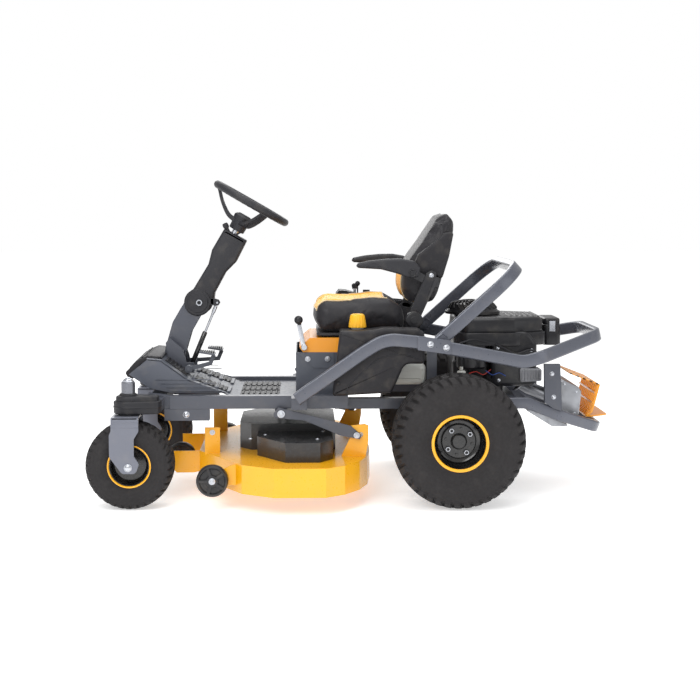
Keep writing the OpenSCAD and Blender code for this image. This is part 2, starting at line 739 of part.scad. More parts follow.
module air_cleaner() {
    color("#242427") {
        box([-842, -95, 584], [-770, 95, 684]);
        box([-830, -80, 684], [-770, 80, 694]);
    }
}
screen_top_z = 757;
module fan_screen() {
    r = screen_r;
    color("#1f1f21") translate([crank.x, crank.y, 0]) {
        difference() {
            along_z(0, 0, r, blower_top_z + gap, blower_top_z + 14);
            along_z(0, 0, r - 6, blower_top_z, blower_top_z + 10);
        }
        rotate_extrude() polygon([[0, screen_top_z], [40, screen_top_z], [82, 748],
                                  [r - 4, blower_top_z + 13],
                                  [r - 10, blower_top_z + 13], [78, 742], [40, 752], [0, 752]]);
        along_z(0, 0, crank_r, 300, 753);
        along_z(0, 0, 70, 300, 326);
    }
}
module muffler() {
    color("#a7a9ad") {
        // Shield box over the silencer
        plate_xz([[-826, 448], [-838, 452], [-900, 424], [-912, 404], [-900, 300], [-826, 300]], -190, 190);
        both_sides() rod([-664, 150, 425], [-832, 176, 356], 17);
        // Pan under the silencer
        plate_xz([[-700, 326], [-700, 332], [-862, 268], [-862, 260], [-800, 262]], -150, -70);
        plate_xz([[-700, 326], [-700, 332], [-862, 268], [-862, 260], [-800, 262]], 70, 150);
    }
}
guard_half_w = 170;
guard_bars = 5;
module exhaust_guard() {
    color(ORANGE) {
        plate_xz(strip([[-866, 478], [-984, 432]], 5), -guard_half_w, guard_half_w);
        for (i = [0 : guard_bars - 1])
            let (y = -guard_half_w + i * (2 * guard_half_w - 8) / (guard_bars - 1))
            plate_xz([[-984, 436], [-990, 430], [-962, 320], [-940, 300], [-934, 306], [-954, 324],
                      [-980, 428]], y, y + 8);
        for (t = [0.3, 0.62])
            translate([-984 + 34 * t, -guard_half_w, 432 - 126 * t]) cube([6, 2 * guard_half_w, 8]);
        plate_xz(strip([[-934, 303], [-1030, 303]], 6), -guard_half_w, guard_half_w);
    }
}
module transaxles() {
    color("#9a9b9e") both_sides() {
        box([-470, 120, 176], [-306, 262, 330]);
        along_y(rear_axle.x, rear_axle.z, 62, 262, 300);
        along_y(rear_axle.x, rear_axle.z, rear_hub_bore_r - 10, 300,
                rear_half_track + rear_disc_y - 3 * rim_wall - gap / 3);
        along_y(rear_axle.x, rear_axle.z, 60, 300, 316);
        along_z(-340, 190, 40, 330, 346);
        box([-306, 150, 200], [-262, 230, 286]);
    }
}

// ==== column and steering wheel =============================================================
tilt_pivot = [631, 0, 757];
pivot_pin_r = 12;
pivot_bore_r = pivot_pin_r + running_clearance;
plate_y = 95;
support_side = [[758, 597], [742, 617], [693, 576], [678, 533], [650, 388], [727, 388]];
channel_line = [[724, 415], [724, 560], [696, 655], [646, 742]];
channel_front = [[764, 415], [764, 566], [732, 676], [693, 742]];
channel_w = 84;
channel_eye_r = 36;
pedal_lug = [[644, 476], [690, 476], [690, 518], [644, 518]];
strut_foot_pin_r = 5;
module column_support() {
    color("#63666f") {
        both_sides() {
            difference() {
                plate_xz(support_side, plate_y - sheet_t, plate_y);
                along_y(677, 406, 7, 0, 200);
            }
            difference() {
                union() {
                    plate_xz(strip(rounded_path(channel_line, 60), channel_w),
                             channel_half_w - sheet_t, channel_half_w);
                    along_y(tilt_pivot.x, tilt_pivot.z, channel_eye_r, channel_half_w - sheet_t,
                            channel_half_w);
                }
                along_y(tilt_pivot.x, tilt_pivot.z, pivot_bore_r, 0, channel_half_w + cut);
            }
            // Lug that carries a pedal shaft, and on the left the foot of the gas strut
            plate_xz(pedal_lug, plate_y - sheet_t, plate_y);
        }
        along_y(pedal_pivot.x, pedal_pivot.z, pedal_pin_r, plate_y - sheet_t,
                brake_y + pedal_boss_half + gap);
        along_y(pedal_pivot.x, pedal_pivot.z, pedal_pin_r, pedal_y - pedal_boss_half - gap,
                -plate_y + sheet_t);
        along_y(strut_foot.x, strut_foot.z, strut_foot_pin_r, strut_foot.y - eye_half - 1, plate_y - cut);
        plate_xz(strip(rounded_path(channel_front, 60), sheet_t), -channel_half_w, channel_half_w);
        box([700, -plate_y, 392], [724, plate_y, 398]);
        box([688, -plate_y, 560], [744, plate_y, 564]);
    }
}
wheel_centre = [413, 0, 1157];
column_side = [[521, 1055], [570, 972], [585, 912], [652, 806], [686, 757], [660, 714], [600, 710],
               [566, 757], [565, 793], [517, 878], [475, 920], [431, 1006]];
strut_top = [551, 60, 757];
strut_foot = [662, 60, 492];
strut_pin_r = 4;
module column_cover() {
    half = column_w / 2;
    color(PLASTIC) {
        difference() {
            plate_xz(column_side, -half, half);
            // Slot that the bent channel stands in
            box([560, -channel_half_w - gap, 690], [720, -channel_half_w + sheet_t + gap, 815]);
            box([560, channel_half_w - sheet_t - gap, 690], [720, channel_half_w + gap, 815]);
            box([600, -channel_half_w - gap, 690], [720, channel_half_w + gap, 735]);
            at_wheel() along_z(0, 0, wheel_shaft_r + running_clearance, shaft_low - gap, hub_low);
        }
        along_y(tilt_pivot.x, tilt_pivot.z, pivot_pin_r, -half, half);
        // Clevis for the gas strut
        for (y = [strut_top.y - 12, strut_top.y + 7])
            plate_xz([[575, 751], [546, 747], [540, 757], [545, 769], [575, 775]], y, y + 5);
        box([565, half - cut, 751], [580, strut_top.y + 12, 775]);
        along_y(strut_top.x, strut_top.z, strut_pin_r, strut_top.y - 12, strut_top.y + 12);
        // Small knob on the left of the column, under the wheel
        rod([500, 30, 1034], [512, 30, 1052], 12);
    }
}
spoke_count = 3;
hub_low = -126;
shaft_low = -190;
wheel_hub_r = 34;
wheel_shaft_r = 14;
module at_wheel() { translate(wheel_centre) rotate([0, -wheel_tilt, 0]) children(); }
module steering_wheel() {
    ring_r = wheel_r - wheel_rim_r;
    color(PLASTIC) at_wheel() {
        rotate_extrude($fn = 96) translate([ring_r, 0]) circle(r = wheel_rim_r, $fn = 32);
        along_z(0, 0, wheel_hub_r, hub_low, hub_low + 70);
        along_z(0, 0, wheel_shaft_r, shaft_low, hub_low + cut);
        for (i = [0 : spoke_count - 1]) rotate([0, 0, 180 + 360 * i / spoke_count])
            plate_xz([[wheel_hub_r - 6, hub_low + 6], [wheel_hub_r - 6, hub_low + 60],
                      [ring_r - 50, hub_low + 70],
                      [ring_r, 4], [ring_r + 4, -10], [ring_r - 44, hub_low + 38]], -21, 21);
    }
}
strut_d = unit(strut_top - strut_foot);
strut_r = 10;
strut_rod_r = 5;
strut_bore_r = strut_rod_r + running_clearance;
strut_len = norm(strut_top - strut_foot);
cylinder_from = 18;
cylinder_to = 160;
eye_r = 12;
eye_half = 5;
module at_strut() {
    translate(strut_foot) rotate([0, atan2(strut_d.x, strut_d.z), 0]) children();
}
module strut_cylinder() {
    color(PLASTIC) at_strut() difference() {
        union() {
            along_z(0, 0, strut_r, cylinder_from, cylinder_to);
            along_z(0, 0, 6, 0, cylinder_from + cut);
            along_y(0, 0, eye_r, -eye_half, eye_half);
        }
        along_z(0, 0, strut_bore_r, cylinder_from + 30, cylinder_to + cut);
        along_y(0, 0, strut_foot_pin_r + running_clearance, -eye_half - cut, eye_half + cut);
    }
}
module strut_rod() {
    color(ZINC) at_strut() difference() {
        union() {
            along_z(0, 0, strut_rod_r, cylinder_from + 60, strut_len - 6);
            along_y(0, strut_len, eye_r, -eye_half + cut, eye_half - cut);
        }
        along_y(0, strut_len, strut_pin_r + 4, -eye_half, eye_half);
    }
}

// ==== pedals ================================================================================
pedal_pivot = [660, 0, 500];
pedal_y = -180;
brake_y = 170;
pedal_pin_r = 8;
pedal_boss_r = 15;
pedal_boss_half = 14;
module pedal_arm(y, tip) {
    arm = [[pedal_pivot.x, pedal_pivot.z], [tip.x + 14, tip.y - 34], [tip.x, tip.y]];
    plate_xz(strip([[tip.x - 6, tip.y + 4], [tip.x + 56, tip.y + 14]], 7), y - 38, y + 38);
    difference() {
        union() {
            plate_xz(strip(arm, 16), y - 5, y + 5);
            along_y(pedal_pivot.x, pedal_pivot.z, pedal_boss_r, y - pedal_boss_half, y + pedal_boss_half);
        }
        along_y(pedal_pivot.x, pedal_pivot.z, pedal_pin_r + running_clearance,
                y - pedal_boss_half - cut, y + pedal_boss_half + cut);
    }
}
module drive_pedal() { color("#4c4f57") pedal_arm(pedal_y, [548, 540]); }
module brake_pedal() { color("#4c4f57") pedal_arm(brake_y, [560, 556]); }

// ==== seat ==================================================================================
cushion_side = [[160, 648], [176, 700], [170, 768], [100, 760], [20, 772], [-110, 770], [-187, 739],
                [-182, 664], [-60, 648]];
seat_z = pan_top_z + 0.5;
recline = [-231, 0, 701];
recline_r = 34;
recline_pin_r = 10;
module seat_cushion() {
    color(VINYL) plate_xz(rounded_outline(cushion_side, 10), -seat_w / 2, seat_w / 2);
}
module seat_frame() {
    color("#2a2a2d") {
        box([-190, -215, seat_z + 8], [150, 215, seat_z + 18]);
        both_sides() {
            box([-110 - seat_travel, 150, seat_z], [70 + seat_travel, 180, seat_z + 9]);
            difference() {
                union() {
                    box([-226, seat_w / 2 + 4, seat_z + 8], [-150, seat_w / 2 + 9, seat_z + 40]);
                    along_y(recline.x, recline.z, recline_r, seat_w / 2 + 4, seat_w / 2 + 9);
                    box([-250, seat_w / 2 + 4, seat_z + 30], [-200, seat_w / 2 + 9, recline.z]);
                }
                along_y(recline.x, recline.z, recline_pin_r + running_clearance, 200, 300);
            }
            box([-190, 200, seat_z + 8], [-150, seat_w / 2 + 9, seat_z + 18]);
        }
    }
}
back_side = [[-306, 760], [-349, 892], [-392, 1080], [-384, 1122], [-350, 1140], [-306, 1108],
             [-255, 1004], [-210, 952], [-170, 880], [-168, 817], [-206, 760]];
module seat_back() {
    color(VINYL) plate_xz(back_side, -back_w / 2, back_w / 2);
}
bracket_y = seat_w / 2 + 10;
module back_brackets() {
    color("#3b3b40") both_sides() {
        plate_xz(strip([[recline.x, recline.z], [-262, 770], [-312, 872]], 40), bracket_y, bracket_y + 6);
        plate_xz(strip([[-302, 846], [arm_pivot.x + 12, arm_pivot.z + 5]], 32), bracket_y, bracket_y + 6);
        along_y(recline.x, recline.z, recline_r, bracket_y, bracket_y + 18);
        along_y(recline.x, recline.z, recline_pin_r, seat_w / 2 + 2, bracket_y + 2);
        box([-330, back_w / 2, 830], [-296, bracket_y + 4, 862]);
        along_y(arm_pivot.x, arm_pivot.z, arm_pin_r, back_w / 2, armrest_y + armrest_w / 2 + 2);
    }
}
arm_pivot = [-222, 0, 887];
arm_pin_r = 9;
arm_line = [[-262, 938], [-212, 944], [-40, 936], [0, 922], [4, 908], [-60, 906], [-146, 884], [-206, 862],
            [-246, 868], [-262, 900]];
module armrest(side) {
    y = armrest_y;
    half = armrest_w / 2;
    color(PLASTIC) mirror([0, side < 0 ? 1 : 0, 0]) difference() {
        plate_xz(rounded_outline(arm_line, 6), y - half, y + half);
        along_y(arm_pivot.x, arm_pivot.z, arm_pin_r + running_clearance, y - half - cut, y + half + cut);
    }
}
lever_at = [200, 240, 592];
lever_pin_r = 6;
lever_boss_half = 6;
module parking_lever() {
    color(ZINC) {
        translate([222, lever_at.y, 700]) sphere(r = 17);
        difference() {
            union() {
                rod(lever_at, [220, lever_at.y, 694], 7);
                along_y(lever_at.x, lever_at.z, 12, lever_at.y - lever_boss_half,
                        lever_at.y + lever_boss_half);
            }
            along_y(lever_at.x, lever_at.z, lever_pin_r + running_clearance, lever_at.y - 10,
                    lever_at.y + 10);
        }
    }
}

// ==== deck ==================================================================================
spindle_x = 205;
spindle_lead = 170;
spindles = [[spindle_x, spindle_y], [spindle_x + spindle_lead, 0], [spindle_x, -spindle_y]];
deck_left = [[616, 0], [616, 228], [436, 565], [314, 650], [120, 650], [48, 590], [-10, 494], [-44, 380],
             [-60, 200]];
deck_cut_y = 630;
deck_right = [for (p = mirrored_y(deck_left)) [p.x, max(p.y, -deck_cut_y)]];
deck_outline = [for (p = concat(deck_left, [for (i = [0 : len(deck_right) - 2]) deck_right[i]])) p];
spindle_r = 13;
spindle_bore_r = spindle_r + running_clearance;
tunnel_x = [70, 330];
arm_y = 228;
front_arm = [[600, 100], [640, 92], [708, 92], [719, 104], [719, 179], [600, 179]];
hanger_x = [-38, 58];
hanger_y = 372;
hanger_t = 6;
arm_pin = [-2, 0, 264];
arm_pin_rad = 8;
pin_travel = 0.36 * deck_travel;
front_bracket_y = 285;
guide_y = 548;
guide_x = 547;
guide_w = 44;
front_guide_x = 706;
guide_pin_r = 8;
module deck_slot(y) {
    for (x = [0, -pin_travel]) along_y(arm_pin.x + x, arm_pin.z, arm_pin_rad + 1.5, y - cut,
                                       y + hanger_t + cut);
    box([arm_pin.x - pin_travel, y - cut, arm_pin.z - arm_pin_rad - 1.5],
        [arm_pin.x, y + hanger_t + cut, arm_pin.z + arm_pin_rad + 1.5]);
}
module deck_shell() {
    color(YELLOW) {
        difference() {
            plate_xy(deck_outline, skirt_z, deck_top_z);
            plate_xy(inset(deck_outline, deck_t), skirt_z - cut, deck_top_z - deck_t);
            box([tunnel_x[0], -deck_cut_y - 10, skirt_z - cut],
                [tunnel_x[1], -deck_cut_y + 30, deck_top_z - deck_t]);
            for (s = spindles) along_z(s.x, s.y, spindle_bore_r, deck_top_z - 20, deck_top_z + cut);
        }
        both_sides() {
            plate_xz(front_arm, arm_y - hanger_t, arm_y);
            difference() {
                plate_xz([[hanger_x[0], deck_top_z], [-48, 240], [-48, 300], [hanger_x[0] + 4, 306],
                          [20, 300], [24, 250],
                          [hanger_x[1], deck_top_z]], hanger_y, hanger_y + hanger_t);
                deck_slot(hanger_y);
            }
            box([531, front_bracket_y, deck_top_z], [591, front_bracket_y + hanger_t, 282]);
            box([531, arm_y + 10, deck_top_z - 8], [591, front_bracket_y + hanger_t, deck_top_z]);
            // Arm and stub shaft of the side guide wheel
            plate_xz([[430, 92], [560, 104], [560, 132], [470, 174], [430, 174]],
                     guide_y - guide_w / 2 - 14, guide_y - guide_w / 2 - 6);
            box([424, 500, 92], [440, guide_y - guide_w / 2 - 6, 174]);
            along_y(guide_x, guide_z, guide_pin_r, guide_y - guide_w / 2 - 14, guide_y + guide_w / 2 + 1);
        }
        // Shaft of the front guide wheel
        along_y(front_guide_x, guide_z, guide_pin_r, -arm_y, arm_y);
        for (s = spindles) difference() {
            along_z(s.x, s.y, 44, deck_top_z - cut, deck_top_z + 30);
            along_z(s.x, s.y, spindle_bore_r, deck_top_z - 20, deck_top_z + 40);
        }
    }
}
cover_t = 3;
cover_main = [[458, -150], [458, 150], [411, 216], [90, 216], [77, 200], [77, -200], [90, -216],
              [411, -216]];
cover_wing = [[384, 210], [384, 347], [272, 522], [140, 522], [90, 440], [90, 210]];
module belt_cover() {
    color("#1c1c1e") difference() {
        union() {
            plate_xy(cover_main, deck_top_z, cover_top_z);
            both_sides() plate_xy(cover_wing, deck_top_z, wing_top_z);
        }
        plate_xy(inset(cover_main, cover_t), deck_top_z - cut, cover_top_z - cover_t);
        both_sides() plate_xy(inset(cover_wing, cover_t), deck_top_z - cut, wing_top_z - cover_t);
        both_sides() box([100, 200, deck_top_z - cut], [370, 230, wing_top_z - cover_t]);
    }
}
blade_z = 84;
pulley_r = 65;
module blade(s) {
    color("#8c8e92") translate([s.x, s.y, 0]) {
        rotate([0, 0, 24]) difference() {
            box([-blade_len / 2, -blade_w / 2, blade_z], [blade_len / 2, blade_w / 2, blade_z + 6]);
            for (a = [0, 180]) rotate([0, 0, a])
                box([blade_len / 2 - 90, blade_w / 2 - 12, blade_z - cut],
                    [blade_len, blade_w, blade_z + 7]);
        }
        along_z(0, 0, spindle_r, blade_z - 14, 246);
        along_z(0, 0, 30, blade_z + 6, blade_z + 20);
        along_z(0, 0, pulley_r, 218, 238);
    }
}
module guide_wheel(x, y) {
    color(PLASTIC) translate([x, y, guide_z]) rotate([-90, 0, 0]) rotate_extrude() polygon([
        [guide_pin_r + running_clearance, -guide_w / 2], [24, -guide_w / 2],
        [28, -guide_w / 4], [guide_r - 12, -guide_w / 4],
        [guide_r - 6, -guide_w / 2], [guide_r, -guide_w / 2 + 6], [guide_r, guide_w / 2 - 6], [guide_r - 6,
            guide_w / 2],
        [guide_r - 12, guide_w / 4], [28, guide_w / 4], [24,
                                                         guide_w / 2], [guide_pin_r + running_clearance,
                                                                        guide_w / 2]]);
}
hinge_z = 174;
flap_gap = 6;
module deflector() {
    y = -deck_cut_y - flap_gap;
    color(PLASTIC) {
        translate([tunnel_x[0] + 6, 0, 0]) rotate([90, 0,
                                                   90]) linear_extrude(tunnel_x[1] - tunnel_x[0] - 12)
            polygon([[y, hinge_z - 6], [y, hinge_z + 4], [y - 16, hinge_z - 6], [y - 28, 92], [y - 23, 92],
                     [y - 12, hinge_z - 14]]);
        rod([tunnel_x[0] + 6, y, hinge_z], [tunnel_x[1] - 6, y, hinge_z], 5);
    }
}
lift_arm_y = rail_outer_y + 32;
module lift_arms() {
    reach = [[lift_pivot.x + 28, 352], [lift_pivot.x + 10, 372], [240, 358], [20, 300], [-22, 262],
             [-14, 248],
             [60, 262], [200, 322], [lift_pivot.x + 4, 330], [lift_pivot.x + 28, 336]];
    color("#4e4f55") {
        both_sides() {
            plate_xz(reach, lift_arm_y, lift_arm_y + plate_t);
            along_y(arm_pin.x, arm_pin.z, arm_pin_rad, hanger_y - 10, lift_arm_y + 10);
        }
        along_y(lift_pivot.x, lift_pivot.z, lift_shaft_r, -lift_arm_y - 12, lift_arm_y + 12);
    }
}

chassis_frame();
frame_cross();
gear_cases();
floor_pan();
nose_cover();
column_support();
seat_box();
seat_pan();
fenders();
console();
fuel_tank();
arch_rails();
hoop();
rear_bumper();
engine_block();
blower_housing();
air_cleaner();
muffler();
exhaust_guard();
transaxles();
battery();
frame_bolts();
at_rear_wheel(1) tyre(rear_tyre_r, rear_tyre_w, rear_rim_r);  // rear_tyre_left
at_rear_wheel(1) rear_rim();  // rear_rim_left
at_rear_wheel(-1) tyre(rear_tyre_r, rear_tyre_w,  // rear_tyre_right
                                                                       rear_rim_r);
at_rear_wheel(-1) rear_rim();  // rear_rim_right
fork();  // fork_left
mirror([0, 1, 0]) fork();  // fork_right
at_front_wheel(1) tyre(front_tyre_r, front_tyre_w,  // front_tyre_left
                                                                       front_rim_r);
at_front_wheel(1) front_rim();  // front_rim_left
at_front_wheel(-1) tyre(front_tyre_r, front_tyre_w,  // front_tyre_right
                                                                         front_rim_r);
at_front_wheel(-1) front_rim();  // front_rim_right
column_cover();
steering_wheel();
strut_cylinder();
strut_rod();
drive_pedal();
brake_pedal();
seat_cushion();
seat_frame();
seat_back();
back_brackets();
armrest(1);  // armrest_left
armrest(-1);  // armrest_right
parking_lever();
deck_shell();
belt_cover();
lift_arms();
blade(spindles[0]);  // blade_left
blade(spindles[1]);  // blade_centre
blade(spindles[2]);  // blade_right
guide_wheel(guide_x, guide_y);  // guide_wheel_left
guide_wheel(guide_x, -guide_y);  // guide_wheel_right
guide_wheel(front_guide_x, 0);  // guide_wheel_front
deflector();
fuel_cap();
fan_screen();
ignition_key();
pto_knob();
throttle_lever();
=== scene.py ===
"""Zero turn mower with a steering wheel: the look of every piece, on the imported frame.

Lengths in this file are millimetres in the frame's axes (+X forward, +Y to the operator's left,
+Z up); they become metres when a mesh is made. Each assembly is a class with its sizes as fields.
"""

import json
import logging
import math
from dataclasses import dataclass
from enum import Enum

import bmesh
import bpy
import numpy as np
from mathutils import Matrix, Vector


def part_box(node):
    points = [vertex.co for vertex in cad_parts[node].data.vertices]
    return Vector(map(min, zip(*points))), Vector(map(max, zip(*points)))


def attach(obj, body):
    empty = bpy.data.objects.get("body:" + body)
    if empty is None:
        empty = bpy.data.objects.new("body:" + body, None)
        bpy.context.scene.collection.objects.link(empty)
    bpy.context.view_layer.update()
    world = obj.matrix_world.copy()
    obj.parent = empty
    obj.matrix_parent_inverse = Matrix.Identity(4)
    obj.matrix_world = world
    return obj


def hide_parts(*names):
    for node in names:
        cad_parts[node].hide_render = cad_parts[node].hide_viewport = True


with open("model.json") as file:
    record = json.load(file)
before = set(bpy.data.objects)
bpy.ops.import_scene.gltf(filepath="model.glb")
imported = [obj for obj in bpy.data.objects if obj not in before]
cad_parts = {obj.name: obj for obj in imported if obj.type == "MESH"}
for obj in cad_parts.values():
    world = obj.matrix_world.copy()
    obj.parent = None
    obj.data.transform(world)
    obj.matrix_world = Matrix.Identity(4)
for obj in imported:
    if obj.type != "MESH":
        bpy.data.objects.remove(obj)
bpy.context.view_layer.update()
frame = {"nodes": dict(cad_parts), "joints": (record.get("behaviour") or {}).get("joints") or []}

Array = np.ndarray
Point = tuple[float, ...]
log = logging.getLogger("mower")
MM = 0.001
TAU = 2.0 * math.pi


# ---- points, outlines and paths --------------------------------------------------------------


def unit(v: Array) -> Array:
    """Each row of v divided by its own length."""
    return v / np.maximum(np.linalg.norm(v, axis=-1, keepdims=True), 1e-12)


def turn(points: Array, axis: Point, degrees: float, about: Point = (0, 0, 0)) -> Array:
    """Rotates points by Rodrigues' formula: p cos a + (k x p) sin a + k (k.p)(1 - cos a).

    Args:
        points: Array whose last side holds x, y and z.
        axis: Direction of the axis of rotation.
        degrees: Angle, by the right-hand rule.
        about: A point on the axis.

    Returns:
        The rotated points, in an array of the same shape.
    """
    k = unit(np.asarray(axis, float))
    p = np.asarray(points, float) - about
    a = math.radians(degrees)
    cross = np.cross(k, p)
    return p * math.cos(a) + cross * math.sin(a) + k * (p @ k)[..., None] * (1 - math.cos(a)) + about


def fillet(corners: list[Point], radius: float | list[float], steps: int = 5, closed: bool = True) -> Array:
    """Rounds each corner with an arc that touches both of its sides.

    The arc's centre lies on the corner's bisector at radius / sin(half angle), and its ends at
    radius / tan(half angle) along the sides; an arc never takes more than 48 % of a side.

    Args:
        corners: The corner points, in two or three dimensions.
        radius: One radius, or one for each corner.
        steps: Number of pieces in each arc.
        closed: Whether the last corner joins the first; if not, both ends stay as they are.

    Returns:
        The rounded line, one point in each row.
    """
    p = np.asarray(corners, float)
    before, after = np.roll(p, 1, 0) - p, np.roll(p, -1, 0) - p
    room = 0.48 * np.minimum(np.linalg.norm(before, axis=1), np.linalg.norm(after, axis=1))
    u, v = unit(before), unit(after)
    half = np.arccos(np.clip((u * v).sum(1), -0.99999, 0.99999)) / 2
    r = np.minimum(np.broadcast_to(radius, len(p)), room * np.tan(half))
    centre = p + unit(u + v) * (r / np.sin(half))[:, None]
    first, last = p + u * (r / np.tan(half))[:, None] - centre, p + v * (r / np.tan(half))[:, None] - centre
    sweep = math.pi - 2 * half
    t = np.linspace(0, 1, steps + 1)[None, :, None]
    s = sweep[:, None, None]
    arc = (np.sin((1 - t) * s) * first[:, None] + np.sin(t * s) * last[:, None]) / np.sin(s)
    line = centre[:, None] + arc
    if closed:
        return line.reshape(-1, p.shape[1])
    return np.concatenate([p[:1], line[1:-1].reshape(-1, p.shape[1]), p[-1:]])


def spline(knots: list[Point], count: int, closed: bool = False) -> Array:
    """Smooth curve through the knots, by the Catmull-Rom formula.

    Between knots b and c, with a before and d after, the point at t is
    b + t (c - a) / 2 + t^2 (a - 5b/2 + 2c - d/2) + t^3 (3b/2 - a/2 - 3c/2 + d/2).

    Args:
        knots: Points that the curve passes through.
        count: Number of points asked for.
        closed: Whether the curve comes back to its start.

    Returns:
        Points along the curve, one in each row.
    """
    k = np.asarray(knots, float)
    if closed:
        padded = np.concatenate([k[-1:], k, k[:2]])
        spans = len(k)
    else:
        padded = np.concatenate([2 * k[:1] - k[1:2], k, 2 * k[-1:] - k[-2:-1]])
        spans = len(k) - 1
    t = np.linspace(0, spans, count, endpoint=not closed)
    i = np.minimum(t.astype(int), spans - 1)
    t = (t - i)[:, None]
    a, b, c, d = (padded[i + n] for n in range(4))
    return (b + t * (c - a) / 2 + t**2 * (a - 2.5 * b + 2 * c - d / 2)
            + t**3 * (1.5 * b - a / 2 - 1.5 * c + d / 2))


def smooth(low: float, high: float, x: Array) -> Array:
    """Zero below low, one above high, and 3t^2 - 2t^3 between them."""
    t = np.clip((x - low) / (high - low), 0, 1)
    return t * t * (3 - 2 * t)


def rounded_rect(width: float, height: float, radius: float, steps: int = 3) -> Array:
    """Rectangle centred on the origin with rounded corners, as an anticlockwise outline."""
    w, h = width / 2, height / 2
    return fillet([(-w, -h), (w, -h), (w, h), (-w, h)], radius, steps)


def inset(outline: Array, distance: float) -> Array:
    """Closed outline moved inwards: each point goes along its bisector, stretched to keep distance.

    Args:
        outline: rows of two coordinates, counterclockwise or clockwise.
        distance: how far each edge moves in, in millimetres.

    Returns:
        The moved outline, with as many points.
    """
    before, after = unit(outline - np.roll(outline, 1, 0)), unit(np.roll(outline, -1, 0) - outline)
    along = unit(before + after)
    area = (outline[:, 0] * np.roll(outline[:, 1], -1) - outline[:, 1] * np.roll(outline[:, 0], -1)).sum()
    normal = np.stack([-along[:, 1], along[:, 0]], 1) * math.copysign(1, area)
    return outline + normal * (distance / np.maximum((along * after).sum(1), 0.3))[:, None]


# ---- solids ----------------------------------------------------------------------------------


@dataclass
class Solid:
    """Closed surfaces: points in millimetres, and faces as tuples of point numbers."""

    points: Array
    faces: list[tuple[int, ...]]

    def __add__(self, other: "Solid") -> "Solid":
        """Both solids as one, without welding them.

        Args:
            other: the solid to add.

        Returns:
            One solid that holds both.
        """
        n = len(self.points)
        shifted = [tuple(i + n for i in f) for f in other.faces]
        return Solid(np.concatenate([self.points, other.points]), self.faces + shifted)

    def moved(self, x: float = 0, y: float = 0, z: float = 0) -> "Solid":
        """The solid shifted by x, y and z."""
        return Solid(self.points + (x, y, z), self.faces)

    def turned(self, axis: Point, degrees: float, about: Point = (0, 0, 0)) -> "Solid":
        """The solid rotated about an axis through a point."""
        return Solid(turn(self.points, axis, degrees, about), self.faces)

    def mirrored(self) -> "Solid":
        """The solid reflected in the centre plane y = 0."""
        return Solid(self.points * (1, -1, 1), [f[::-1] for f in self.faces])

    def both(self) -> "Solid":
        """The solid and its reflection in the centre plane."""
        return self + self.mirrored()


def union(solids: list[Solid]) -> Solid:
    """All the solids as one, without welding them.

    Args:
        solids: the solids to gather.

    Returns:
        One solid that holds all of them.
    """
    counts = np.cumsum([0] + [len(s.points) for s in solids[:-1]])
    faces = [tuple(i + int(n) for i in f) for s, n in zip(solids, counts) for f in s.faces]
    return Solid(np.concatenate([s.points for s in solids]), faces)


def grid(points: Array, wrap_u: bool = False, wrap_v: bool = True, cap: bool = True) -> Solid:
    """Skin over a grid of points: one four-sided face for each cell.

    Args:
        points: Array of shape (u, v, 3); u runs along the piece and v round it.
        wrap_u: Whether the last row joins the first.
        wrap_v: Whether the last column joins the first.
        cap: Whether one flat face closes each end of an unwrapped u.

    Returns:
        The skin as a solid.
    """
    nu, nv = points.shape[:2]
    number = np.arange(nu * nv).reshape(nu, nv)
    a = number if wrap_u else number[:-1]
    b = np.roll(number, -1, 0) if wrap_u else number[1:]
    if not wrap_v:
        quads = np.stack([a[:, :-1], b[:, :-1], b[:, 1:], a[:, 1:]], -1)
    else:
        quads = np.stack([a, b, np.roll(b, -1, 1), np.roll(a, -1, 1)], -1)
    faces = list(map(tuple, quads.reshape(-1, 4).tolist()))
    if cap and wrap_v and not wrap_u:
        faces += [tuple(number[0].tolist()), tuple(number[-1][::-1].tolist())]
    return Solid(points.reshape(-1, 3).astype(float), faces)


def slab(outline: Array | list[Point], low: float, high: float, axis: str = "y",
         crown: float = 0.0) -> Solid:
    """Flat outline carried from low to high along an axis.

    The outline is in the other two axes, in the order x, y, z. With a crown, each face is the
    outline moved inwards by the crown, and the full outline lies that far inside the face, so
    that the rim has a quarter-round: inset = crown (1 - sin a), depth = crown (1 - cos a).

    Args:
        outline: Corner points, two numbers each.
        low: Where the slab starts along the axis.
        high: Where it ends.
        axis: "x", "y" or "z".
        crown: Radius of the rounded rim, zero for a sharp one.

    Returns:
        The slab as a solid.
    """
    flat = np.asarray(outline, float)
    if crown:
        a = np.linspace(0, math.pi / 2, 5)
        ins = crown * (1 - np.sin(a))
        dep = crown * (1 - np.cos(a))
        ins, at = np.concatenate([ins, ins[::-1]]), np.concatenate([low + dep, (high - dep)[::-1]])
        rings = np.stack([inset(flat, float(d)) if d > 1e-9 else flat for d in ins])
    else:
        at = np.array([low, high])
        rings = np.stack([flat, flat])
    span = np.broadcast_to(at[:, None], rings.shape[:2])
    order = {"x": (span, rings[..., 0], rings[..., 1]), "y": (rings[..., 0], span, rings[..., 1]),
             "z": (rings[..., 0], rings[..., 1], span)}[axis]
    return grid(np.stack(order, -1))


def block(low: Point, high: Point) -> Solid:
    """Box between two corners."""
    return slab([(low[0], low[2]), (high[0], low[2]), (high[0], high[2]), (low[0], high[2])], low[1],
                high[1])


